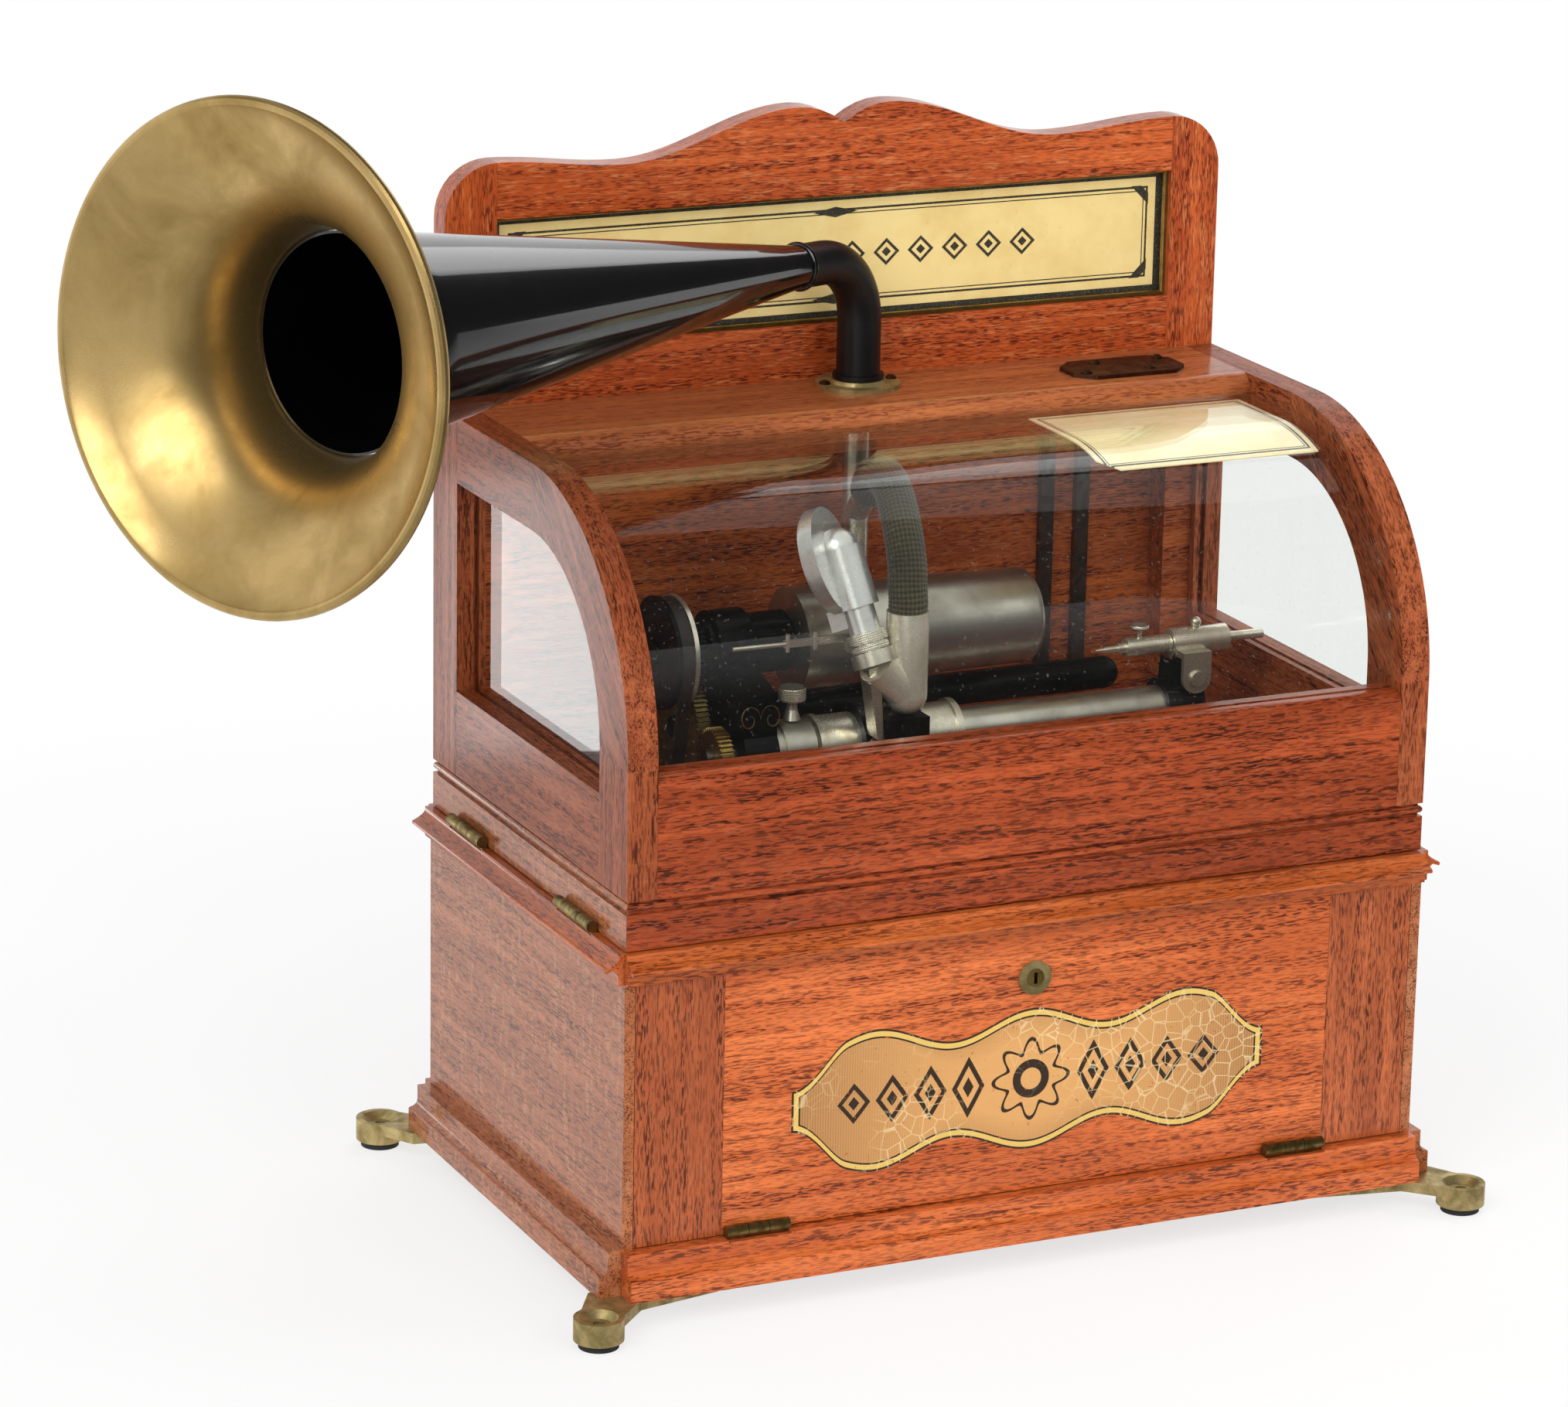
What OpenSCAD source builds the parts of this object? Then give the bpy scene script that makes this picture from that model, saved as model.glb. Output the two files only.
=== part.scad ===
// Coin-operated cylinder phonograph: oak cabinet, glazed hood, sign board and brass-bell horn.
// Millimetres. X runs right along the front, Y runs to the back, Z is up and the table is at Z = 0.

/* [Cabinet] */
// Width of the lower cabinet
cabinet_w = 380; // [366:1:420]
// Depth of the lower cabinet, door face to back
cabinet_d = 220; // [216:1:250]
// Thickness of the cabinet boards
board_t = 12; // [10:0.5:14]
// Height of the base above the table
foot_h = 13; // [11:0.5:18]
// Height of the base moulding
base_h = 20; // [18:0.5:26]
// How far the base moulding stands out
base_out = 10.5; // [9:0.5:14]
// Height of the cabinet between its two mouldings
case_h = 117.5; // [114:0.5:150]
// Height of the waist moulding
waist_h = 13.5; // [13:0.5:18]
// How far the waist moulding stands out
waist_out = 9; // [8:0.5:12]
// Thickness of the motor board
deck_t = 10; // [8:0.5:12]
// Visible edge of each side panel beside the door
side_lip = 4.8; // [4:0.2:7]
// Width of the door's end cleats
cleat_w = 40.5; // [30:0.5:50]

/* [Feet and hardware] */
// Diameter of the round end of a foot
foot_ring_d = 21.5; // [20:0.5:26]
// Diameter of a foot's screw hole
foot_bolt_d = 5.2; // [4:0.2:6]
// Height of the rubber pads
pad_h = 3.2; // [2.5:0.1:5]
// Diameter of the rubber pads
pad_d = 17.2; // [14:0.2:20]
// Distance from cabinet side to foot centre, each way
foot_out = 17.6; // [16:0.2:22]
// Diameter of a hinge knuckle
knuckle_d = 5.2; // [4.6:0.2:6]
// Diameter of a hinge pin
hinge_pin_d = 2.4; // [2:0.1:2.8]
// Length of a door hinge
door_hinge_len = 29; // [24:1:36]
// Length of a hood hinge
hood_hinge_len = 37; // [28:1:44]
// Thickness of a hinge leaf
leaf_t = 1.2; // [1:0.1:1.6]
// Diameter of the lock's round plate
lock_d = 15.2; // [14:0.2:20]

/* [Hood] */
// How far the hood is set in from the cabinet on each side
hood_step = 0.8; // [0.4:0.1:2]
// Height of the plain skirt at the bottom of the hood
skirt_h = 15.4; // [12:0.2:20]
// Height of the bead above the skirt
bead_h = 6; // [5:0.2:8]
// Height of the end frames
frame_h = 161.5; // [156:0.5:190]
// Thickness of the end frames
frame_t = 13.5; // [12:0.5:15]
// Width of the curved member of an end frame
frame_w = 30; // [26:0.5:34]
// Width of an end frame's bottom rail
end_rail_w = 38.6; // [34:0.2:44]
// Height of the front rail
rail_h = 52; // [44:0.5:54]
// Straight height of the front glass above the front rail
glass_foot = 3.5; // [2:0.5:8]
// Thickness of the front rail
rail_t = 16; // [15:0.5:20]
// Depth of the top shelf
shelf_d = 74; // [70:0.5:80]
// Thickness of the top shelf
shelf_t = 12; // [11:0.5:14]
// Thickness of the hood's back panel
back_t = 10; // [8:0.5:12]
// Thickness of the glass
glass_t = 2.5; // [2:0.1:3]
// Depth of the glass behind the face of its frame
glass_set = 8; // [7:0.2:9]

/* [Sign board] */
// Thickness of the sign board
sign_t = 12.8; // [12:0.2:15]
// Width of the sign board's stiles
stile_w = 24.2; // [20:0.2:30]
// Height of the sign board's bottom rail
sill_w = 24.4; // [20:0.2:30]
// Height of the window in the sign board
window_h = 58; // [50:0.5:64]
// Height of the top rail at its shoulders
shoulder_h = 25; // [22:0.5:30]
// Rise of the two humps above the shoulders
hump_h = 15.5; // [10:0.5:20]
// Drop of the two dips below the shoulders
dip_h = 4.5; // [3:0.5:6]
// Depth of the notch between the humps
notch_h = 8; // [5:0.5:10]

/* [Horn] */
// Outside diameter of the horn's elbow pipe
pipe_d = 19.6; // [18:0.2:21]
// Distance from the flange centre to the sign board
flange_front = 19.4; // [18:0.2:22]
// Diameter of the flange
flange_d = 38; // [36:0.5:44]
// Height of the straight pipe above the shelf
riser_h = 30; // [24:0.5:40]
// Bend radius of the elbow
elbow_r = 30; // [26:0.5:36]
// Length of the horn from its joint to its rim
horn_len = 354; // [320:1:380]
// Diameter of the bell's rim
bell_d = 206; // [190:1:214]
// Diameter of the cone where it meets the bell
throat_d = 90; // [80:1:100]
// Angle by which the horn is swung forward from the left
horn_turn = 27.4; // [20:0.2:40]
// Angle by which the horn rises
horn_rise = 3; // [0:0.5:6]

/* [Mechanism] */
// Length of the mandrel
mandrel_len = 117; // [112:0.5:120]
// Diameter of the mandrel at its bearing
mandrel_d = 46; // [45:0.1:47]
// Diameter of the mandrel at its free end
mandrel_end_d = 42.6; // [42:0.1:44]
// Module of the gears between mandrel and feed screw
gear_module = 0.7; // [0.68:0.01:0.72]
// Teeth of the mandrel gear
mandrel_teeth = 36; // [34:1:38]
// Teeth of the idler gear
idler_teeth = 72; // [68:1:76]
// Teeth of the feed gear
feed_teeth = 36; // [34:1:38]
// Distance of the feed screw in front of the mandrel
feed_front = 30; // [27:0.5:32]
// Height of the mandrel above the feed screw
mandrel_rise = 40.5; // [39.5:0.1:41.5]
// Height of the feed screw above the motor board
feed_rise = 47.3; // [46:0.1:50]
// Diameter of the feed tube
feed_tube_d = 19.6; // [19:0.1:20.4]
// Diameter of the feed screw
feed_screw_d = 8; // [7:0.1:9]
// Diameter of the carriage sleeve
sleeve_d = 26.8; // [26:0.1:28]
// Length of the carriage sleeve
sleeve_len = 69; // [66:0.5:72]
// Diameter of the mandrel shaft
shaft_d = 10; // [9:0.1:11]
// Diameter of the drive pulley's flanges
pulley_d = 50; // [48:0.5:52]
// Diameter of the drive pulley in its groove
groove_d = 44; // [42:0.5:46]
// Diameter of the reproducer
head_d = 47; // [44:0.5:48]
// Diameter of the braided hose
hose_d = 17.4; // [16.6:0.2:17.8]
// Diameter of the standpipe
stand_d = 12.2; // [11:0.2:13]

/* [Motor] */
// Diameter of the spring barrel
barrel_d = 68; // [60:1:70]
// Length of the spring barrel
barrel_len = 60; // [50:1:62]
// Teeth of the great wheel
great_teeth = 100; // [96:4:104]
// Teeth of the motor pinion
pinion_teeth = 12; // [12:1:14]
// Module of the great wheel
motor_module = 0.8; // [0.78:0.01:0.82]
// Diameter of the motor pulley in its groove
motor_groove_d = 22; // [20:0.5:23]
// Diameter of the winding arbor
arbor_d = 10; // [9:0.1:11]
// Length of the crank arm between centres
crank_len = 58; // [50:1:60]
// Width of the drive belt
belt_w = 6; // [5:0.2:6.4]
// Thickness of the drive belt
belt_t = 1.8; // [1.5:0.1:2.2]

/* [Hidden] */
$fn = 64;

// Clearances
joint_gap = 0.1;
free_gap = 0.3;
run_gap = 0.05;
hinge_gap = 0.6;
end_gap = 0.15;
eps = 0.01;

// Levels above the table
z_base = foot_h;
z_case = z_base + base_h;
z_waist = z_case + case_h;
z_deck = z_waist + waist_h;
z_bed = z_waist + deck_t;
z_skirt = z_deck + hinge_gap;
z_frame = z_skirt + skirt_h + bead_h;
z_top = z_frame + frame_h;
z_shelf = z_top - shelf_t;

// Plan of the cabinet and the hood
half_w = cabinet_w / 2;
half_d = cabinet_d / 2;
in_w = half_w - board_t;
in_d = half_d - board_t;
hood_w = half_w - hood_step;
hood_d = half_d - hood_step;
hood_in = hood_w - frame_t;
foot_x = half_w + foot_out;
foot_y = half_d + foot_out;
shelf_y = hood_d - shelf_d;
back_y = hood_d - back_t;
sign_y = hood_d - sign_t;
horn_y = sign_y - flange_front;
curve_r = frame_h - rail_h - glass_foot;
curve_y = curve_r - hood_d;
curve_z = z_top - curve_r;
open_back = hood_d - frame_w + 2;
pane_groove = 3;

// Sign board: pane and card behind its window, and the places of the scrolls
sign_rebate = 4;
sign_lip = 4.6;
card_t = 1.2;
card_y = sign_y + sign_lip + glass_t + 2 * joint_gap;
window_w = hood_w - stile_w;
window_z = z_top + sill_w;
hump_x = 22;
dip_x = 105;

// Horn
joint_run = 14.6;
bell_from = horn_len - 62;
bell_wall = 1.2;
rim_d = 5;
bell_run = horn_len - rim_d / 2 - bell_from;
bell_rim = bell_d / 2 - rim_d / 2;

// Axes of the mechanism
feed_y = 0;
feed_z = z_bed + feed_rise;
mandrel_y = feed_y + feed_front;
mandrel_z = feed_z + mandrel_rise;
mandrel_x = -53.5;
mandrel_end = mandrel_x + mandrel_len;
gear_x = mandrel_x - 50;
gear_t = 6;
web_x = gear_x + 11;
web_t = 16;
pulley_x = gear_x - 13;
pulley_t = 10;
collar_x = web_x + web_t + 4;
collar_len = 14.5;
collar_d = 26.4;
bar_y = mandrel_y + 20;
bar_z = feed_z + 2.7;
bar_d = 15;
bracket_x = mandrel_end + 55.5;
bracket_t = 14;
stop_z = feed_z + 29;
stop_body_d = 12.8;
stop_rod_d = 4.4;
bearing_d = 27;

// Idler gear, which meshes with the mandrel's gear and the feed gear, and the turn of each gear's teeth
mandrel_reach = gear_module * (mandrel_teeth + idler_teeth) / 2;
feed_reach = gear_module * (feed_teeth + idler_teeth) / 2;
axes_gap = norm([feed_front, mandrel_rise]);
idler_along = axes_gap / 2 + (feed_reach * feed_reach - mandrel_reach * mandrel_reach) / (2 * axes_gap);
idler_off = sqrt(feed_reach * feed_reach - idler_along * idler_along);
idler_y = feed_y + (idler_along * feed_front + idler_off * mandrel_rise) / axes_gap;
idler_z = feed_z + (idler_along * mandrel_rise - idler_off * feed_front) / axes_gap;
idler_pin_d = 6;
mandrel_turn = atan2(idler_z - mandrel_z, idler_y - mandrel_y);
idler_turn = mandrel_turn + 180 + 180 / idler_teeth;
feed_side = atan2(feed_z - idler_z, feed_y - idler_y);
feed_turn = feed_side + 180 + 180 / feed_teeth - (idler_turn - feed_side) * idler_teeth / feed_teeth;

// Carriage, with the neck that holds the reproducer
sleeve_x = collar_x + collar_len + 1.5;
saddle_x = [-37, -8];
ferrule_at = [-20, feed_y - 20, feed_z + 26];
ferrule_d = 18.6;
ferrule_len = 37;
neck_at = [-38.4, feed_y - 20, feed_z + 50.3];
neck_lean = 24;
neck_turn = 115;
head_turn = 202;
neck_d = 10;
socket_len = 6.3;
socket_low = -10;
neck_axis = [sin(neck_lean) * cos(neck_turn), sin(neck_lean) * sin(neck_turn), cos(neck_lean)];
socket_at = neck_at + socket_low * neck_axis;
head_rise = 39;
nut_low = -3.4;
nut_top = 5;
nut_gap = 0.6;
hose_at = ferrule_at + [0, 0, ferrule_len];
// Points of the hose above the top of the ferrule, before they are fitted under the shelf
hose_shape = [[0, 0, 0], [0, 0, 5], [0, 1, 11], [1, 4, 20], [2, 10, 30], [4, 19, 38], [7, 31, 44],
    [10, 44, 47], [13, 56, 46], [16, 67, 43], [18, 76, 38], [20, 83, 32]];
hose_last = len(hose_shape) - 1;
hose_clear = 9;
branch_run = 14;
hose_reach = horn_y - branch_run - hose_at[1];
hose_crown = z_shelf - hose_clear - hose_d / 2 - hose_at[2];
hose_fit = [1, hose_reach / hose_shape[hose_last][1], hose_crown / max([for (p = hose_shape) p[2]])];
hose_route = [for (p = hose_shape) [for (k = [0 : 2]) p[k] * hose_fit[k]]];
hose_end = hose_at + hose_route[hose_last];
hose_sides = 12;
hose_steps = 3;
branch_z = hose_end[2] - branch_run;

// Motor, hung under the motor board
motor_back = 78;
motor_drop = 58;
arbor_y = in_d - motor_back;
arbor_z = z_waist - motor_drop;
motor_angle = 50;
motor_gap = motor_module * (great_teeth + pinion_teeth) / 2;
motor_y = arbor_y + motor_gap * cos(motor_angle);
motor_z = arbor_z + motor_gap * sin(motor_angle);
speed_module = 0.6;
speed_teeth = 48;
speed_pinion = 12;
speed_gap = speed_module * (speed_teeth + speed_pinion) / 2;
speed_y = motor_y + speed_gap;
motor_shaft_d = 6;
speed_shaft_d = 4;
bush_d = 18;
plate_t = 3;
plate_reach = 46;
plate_past = 24;
plate_l = -66;
plate_r = 46;
great_x = -50;
wheel_x = -38;
wheel_t = 4;
belt_r = groove_d / 2 + free_gap;
motor_belt_r = motor_groove_d / 2 + free_gap;
flange_t = 2;

// Hardware places
knuckle_r = knuckle_d / 2;
pin_up = knuckle_r + free_gap;
leaf_w = board_t - 1;
door_hinge_x = cabinet_w / 2 - side_lip - cleat_w - door_hinge_len / 2 - 1;
hood_hinge_y = 61.5;
door_low = z_case + hinge_gap;
door_high = z_waist - free_gap;
door_half = half_w - side_lip - free_gap;
lock_z = z_waist - 20.5;
lock_plug_d = 8;
lock_body_d = 12;
plate_x = hood_w - 63.5;
plate_y = shelf_y + 29;
plate_w = 56;
plate_d = 30;
plate_h = 1.8;
strip_x = [hood_w - 86, hood_w - 68];
card_x = [hood_in - 112, hood_in - 6];

// Colours
oak = [0.62, 0.29, 0.16];
dark_oak = [0.46, 0.19, 0.10];
brass = [0.66, 0.55, 0.29];
aged_brass = [0.50, 0.46, 0.31];
nickel = [0.77, 0.75, 0.68];
steel = [0.42, 0.42, 0.40];
japan = [0.05, 0.05, 0.05];
pane = [0.80, 0.88, 0.86, 0.35];
card = [0.93, 0.84, 0.62];
rubber = [0.14, 0.14, 0.15];

// Solid with a Y-Z outline, run along X
module along_x(x0, x1) {
    translate([x0, 0, 0]) rotate([90, 0, 90]) linear_extrude(x1 - x0) children();
}

// Solid with an X-Z outline, run along Y
module along_y(y0, y1) {
    translate([0, y1, 0]) rotate([90, 0, 0]) linear_extrude(y1 - y0) children();
}

// Round bar along X
module rod_x(d, x0, x1, y, z) {
    translate([x0, y, z]) rotate([0, 90, 0]) cylinder(d = d, h = x1 - x0);
}

// Round bar along Y
module rod_y(d, y0, y1, x, z) {
    translate([x, y1, z]) rotate([90, 0, 0]) cylinder(d = d, h = y1 - y0);
}

// Round bar between two points
module rod_between(d, p, q) {
    v = q - p;
    translate(p) rotate([0, acos(v[2] / norm(v)), atan2(v[1], v[0])]) cylinder(d = d, h = norm(v));
}

// Box given by its two corners
module box(p, q) {
    translate(p) cube(q - p);
}

// Points of an arc
function arc(c, r, a0, a1, n) = [for (i = [0 : n]) let (a = a0 + (a1 - a0) * i / n) c + r * [cos(a), sin(a)]];

// One mitred stick of a rectangular frame, along the front, from an outline of outward distance and height
module mitred_stick(length, depth, outline) {
    cut = board_t + 2;
    span = 40;
    intersection() {
        along_x(-length, length) polygon([for (p = outline) [-depth - p[0], p[1]]]);
        linear_extrude(3 * z_top) polygon([
            [-length - span + joint_gap / 2, -depth - span], [length + span - joint_gap / 2, -depth - span],
            [length - cut - joint_gap / 2, -depth + cut], [-length + cut + joint_gap / 2, -depth + cut]]);
    }
}

// Four mitred sticks round a rectangle of half width and half depth
module mitred_frame(w, d, outline) {
    for (turn = [0, 180]) rotate(turn) {
        mitred_stick(w, d, outline);
        rotate(90) mitred_stick(d, w, outline);
    }
}

// Outline of an end frame or pane: square at the back and below, rounded at the front above
module end_outline(front, back, low, high, r) {
    translate([front + r, low]) square([back - front - r, high - low]);
    translate([front, low]) square([r + eps, high - low - r]);
    intersection() {
        translate([front + r, high - r]) circle(r);
        translate([front, high - r - eps]) square(r + 2 * eps);
    }
}

// Gear outline with its teeth turned by an angle
module gear_outline(teeth, size, turn) {
    polygon([for (i = [0 : teeth - 1]) for (side = [-0.30, -0.11, 0.11, 0.30])
        let (a = turn + 360 / teeth * (i + side), r = size * (teeth / 2 + (abs(side) < 0.2 ? 0.85 : -1.2)))
        [r * cos(a), r * sin(a)]]);
}

// Gear along X on a shaft
module gear(teeth, size, turn, bore, x, t, y, z) {
    translate([0, y, z]) along_x(x, x + t) difference() {
        gear_outline(teeth, size, turn);
        circle(d = bore);
    }
}

// Outline of a band drawn round two circles
module band_outline(p, r, q, s) {
    v = q - p;
    lean = acos((r - s) / norm(v));
    turn = atan2(v[1], v[0]);
    translate(p) circle(r);
    translate(q) circle(s);
    polygon([p + r * [cos(turn + lean), sin(turn + lean)], p + r * [cos(turn - lean), sin(turn - lean)],
        q + s * [cos(turn - lean), sin(turn - lean)], q + s * [cos(turn + lean), sin(turn + lean)]]);
}

// Fixed half of a hinge whose pin runs along X at the origin, with its leaf under the moving board
module hinge_fixed(length) {
    third = length / 3;
    difference() {
        union() {
            for (x = [-length / 2, third / 2 + end_gap]) {
                rod_x(knuckle_d, x, x + third - end_gap, 0, 0);
                box([x, 0, -knuckle_r - leaf_t], [x + third - end_gap, knuckle_r - free_gap, -knuckle_r / 2]);
            }
            box([-length / 2, 0, -knuckle_r - leaf_t], [length / 2, leaf_w, -knuckle_r]);
        }
        rod_x(knuckle_d + 2 * free_gap, -third / 2 - end_gap, third / 2 + end_gap, 0, 0);
    }
    rod_x(hinge_pin_d, -length / 2, length / 2, 0, 0);
}

// Moving half of the same hinge
module hinge_moving(length) {
    third = length / 3;
    low = free_gap - knuckle_r;
    difference() {
        union() {
            rod_x(knuckle_d, -third / 2 + end_gap, third / 2 - end_gap, 0, 0);
            box([-length / 2, pin_up - joint_gap, low], [length / 2, leaf_w, low + leaf_t]);
            box([-third / 2 + end_gap, 0, low], [third / 2 - end_gap, leaf_w, low + leaf_t]);
        }
        rod_x(hinge_pin_d + 2 * run_gap, -length, length, 0, 0);
    }
}

// Places of the two hinges of the door
module at_door_hinges() {
    for (s = [-1, 1]) translate([s * door_hinge_x, -half_d - pin_up, z_case + pin_up]) children();
}

// Places of the two hinges of the hood
module at_hood_hinges() {
    for (s = [-1, 1]) translate([-hood_w - pin_up, s * hood_hinge_y, z_deck + pin_up]) rotate(-90) children();
}

// Cut for a hinge leaf let into the board above or below it
module leaf_cut(length, low) {
    box([-length / 2, -leaf_w, low], [length / 2, leaf_w, low + leaf_t]);
}

// Frame of the reproducer's neck, Z along the neck
module at_neck() {
    translate(neck_at) rotate([0, neck_lean, neck_turn]) rotate(head_turn) children();
}

// Frame of the horn, X along the horn, at the centre of its flange on the shelf
module at_horn() {
    translate([0, horn_y, z_top]) rotate(180 + horn_turn) children();
}

// Frame of the horn's axis, Z from the joint to the rim
module at_horn_axis() {
    bend = 90 - horn_rise;
    at_horn() translate([elbow_r * (1 - cos(bend)), 0, riser_h + elbow_r * sin(bend)])
        rotate([0, bend, 0]) translate([0, 0, joint_run]) children();
}

// Feet: cast arm under the base with a round end beyond the corner
module foot_bracket() {
    arm_t = 5;
    dish = 3;
    difference() {
        union() {
            translate([foot_x, foot_y, pad_h]) cylinder(d = foot_ring_d, h = foot_h - pad_h);
            translate([foot_x, foot_y, foot_h - arm_t]) linear_extrude(arm_t)
                polygon([[-8, 5], [5, -8], [-6, -26], [-24, -29], [-62, -24], [-66, -21],
                    [-62, -18], [-24, -11]]);
        }
        translate([foot_x, foot_y, 0]) cylinder(d = foot_bolt_d, h = foot_h + 1);
        translate([foot_x, foot_y, foot_h - dish])
            cylinder(d1 = 2 * foot_bolt_d, d2 = foot_ring_d - 5, h = dish + eps);
    }
}

module foot_brackets() {
    color(aged_brass) for (sx = [0, 1], sy = [0, 1]) mirror([sx, 0, 0]) mirror([0, sy, 0]) foot_bracket();
}

module foot_pads() {
    color(rubber) for (sx = [-1, 1], sy = [-1, 1]) translate([sx * foot_x, sy * foot_y, 0]) difference() {
        cylinder(d = pad_d, h = pad_h);
        translate([0, 0, -1]) cylinder(d = foot_bolt_d, h = pad_h + 2);
    }
}

// Base moulding: plinth, cove and top fillet
module base_moulding() {
    top_out = base_out - 4.3;
    cove = base_out - top_out - 0.8;
    outline = concat([[-board_t, z_base], [base_out, z_base], [base_out, z_case - 11]],
        arc([base_out - 1, z_case - 11], 1, 0, 90, 3),
        arc([top_out + cove, z_case - 10 + cove], cove, 270, 180, 5),
        [[top_out, z_case], [-board_t, z_case]]);
    color(oak) difference() {
        mitred_frame(half_w, half_d, outline);
        at_door_hinges() leaf_cut(door_hinge_len, -knuckle_r - leaf_t);
    }
}

module base_board() {
    color(oak) box([-in_w, -in_d, z_case - board_t], [in_w, in_d, z_case]);
}

// Sides, rebated for the door, with a cleat inside that carries the motor board
module side_panels() {
    cleat = 12;
    color(oak) for (s = [0, 1]) mirror([s, 0, 0]) difference() {
        union() {
            box([in_w, -half_d, z_case], [half_w, half_d, z_waist]);
            box([in_w - cleat, -in_d + 2, z_waist - cleat], [in_w, in_d, z_waist]);
        }
        box([0, -half_d - 1, z_case - 1], [half_w - side_lip, -in_d + free_gap, z_waist + 1]);
        if (s == 0) rod_x(bush_d, 0, cabinet_w, arbor_y, arbor_z);
    }
}

module cabinet_back() {
    color(oak) box([-in_w, in_d, z_case], [in_w, half_d, z_waist]);
}

// Waist moulding: small step, cove, thin lip and rounded top
module waist_moulding() {
    step = 2.7;
    lip_z = z_waist + 6.8;
    rise = z_deck - 1.5 - lip_z;
    outline = concat([[-board_t, z_waist], [step, z_waist], [step, z_waist + 2.4]],
        arc([waist_out - 1, z_waist + 2.4], waist_out - 1 - step, 180, 120, 4),
        arc([waist_out - 1, lip_z], 1, -60, 90, 5),
        [for (i = [1 : 6]) let (t = i / 6)
            [step + (waist_out - 1 - step) * pow(1 - t, 1.7), lip_z + 1 + (rise - 1) * t]],
        [[step, z_deck], [-board_t, z_deck]]);
    color(oak) difference() {
        mitred_frame(half_w, half_d, outline);
        at_hood_hinges() leaf_cut(hood_hinge_len, -knuckle_r - leaf_t);
    }
}

// Motor board, with slots for the belt and the coin and a strip that the lock catches
module motor_board() {
    slot = belt_r + belt_t + 3;
    color(dark_oak) difference() {
        union() {
            box([-in_w + joint_gap, -in_d + joint_gap, z_waist], [in_w - joint_gap, in_d - joint_gap, z_bed]);
            box([-20, -in_d + free_gap, z_waist - 10], [20, -in_d + 1.8, z_waist]);
        }
        box([pulley_x - 2, motor_y - slot, z_waist - 1],
            [pulley_x + pulley_t + 2, motor_y + slot, z_bed + 1]);
        box([strip_x[0] + 7, back_y - 9, z_waist - 1], [strip_x[1] - 1, back_y - 2, z_bed + 1]);
    }
}

module hinge_leaves() {
    color(brass) {
        at_door_hinges() hinge_fixed(door_hinge_len);
        at_hood_hinges() hinge_fixed(hood_hinge_len);
    }
}

// Upright casting with the mandrel bearing, the feed bearing, the idler's stud and the long bar behind
module bed_casting() {
    foot_t = 7;
    stud_head = 2;
    bearing_end = mandrel_x - 3;
    color(japan) difference() {
        union() {
            along_x(web_x, web_x + web_t) {
                polygon([[feed_y - 12, z_bed], [bar_y + 10, z_bed], [bar_y + 9, bar_z + 6],
                    [mandrel_y + 16, mandrel_z - 6], [mandrel_y, mandrel_z], [feed_y - 8, mandrel_z - 12],
                    [feed_y - 11, feed_z]]);
                translate([feed_y, feed_z]) circle(d = 28);
                translate([mandrel_y, mandrel_z]) circle(d = bearing_d + 6);
            }
            rod_x(bearing_d, web_x - 3, bearing_end, mandrel_y, mandrel_z);
            box([web_x - 4, feed_y - 20, z_bed], [web_x + web_t + 14, bar_y + 18, z_bed + foot_t]);
            rod_x(bar_d, web_x + 2, bracket_x - 6, bar_y, bar_z);
            translate([bracket_x - 6, bar_y, bar_z]) sphere(d = bar_d);
            rod_x(idler_pin_d, gear_x - stud_head, web_x + eps, idler_y, idler_z);
            rod_x(idler_pin_d + 6, gear_x + gear_t + free_gap, web_x + eps, idler_y, idler_z);
            rod_x(idler_pin_d + 4, gear_x - stud_head, gear_x - free_gap, idler_y, idler_z);
        }
        rod_x(shaft_d + 2 * run_gap, web_x - 10, bearing_end + 1, mandrel_y, mandrel_z);
        rod_x(feed_screw_d + 2 * run_gap, web_x - 10, web_x + web_t + 1, feed_y, feed_z);
        rod_x(feed_tube_d, web_x + web_t - 5, web_x + web_t + 10, feed_y, feed_z);
    }
}

// Feed tube with its clamping collar at the left, slotted underneath for the half nut
module feed_tube() {
    tube_x = web_x + web_t - 5;
    tube_end = bracket_x + bracket_t;
    slot_w = 5;
    color(steel) difference() {
        union() {
            rod_x(feed_tube_d, tube_x, tube_end, feed_y, feed_z);
            rod_x(collar_d, collar_x, collar_x + collar_len, feed_y, feed_z);
            rod_x(collar_d - 3, web_x + web_t, collar_x, feed_y, feed_z);
        }
        rod_x(feed_screw_d + 2.4, tube_x - 1, bracket_x, feed_y, feed_z);
        rod_x(feed_screw_d + 2 * run_gap, tube_x, tube_end + 1, feed_y, feed_z);
        box([sleeve_x, feed_y - slot_w / 2, feed_z - feed_tube_d],
            [bracket_x - 4, feed_y + slot_w / 2, feed_z]);
        translate([collar_x + collar_len / 2, feed_y, feed_z]) cylinder(d = 4 + 2 * run_gap, h = collar_d);
    }
}

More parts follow.
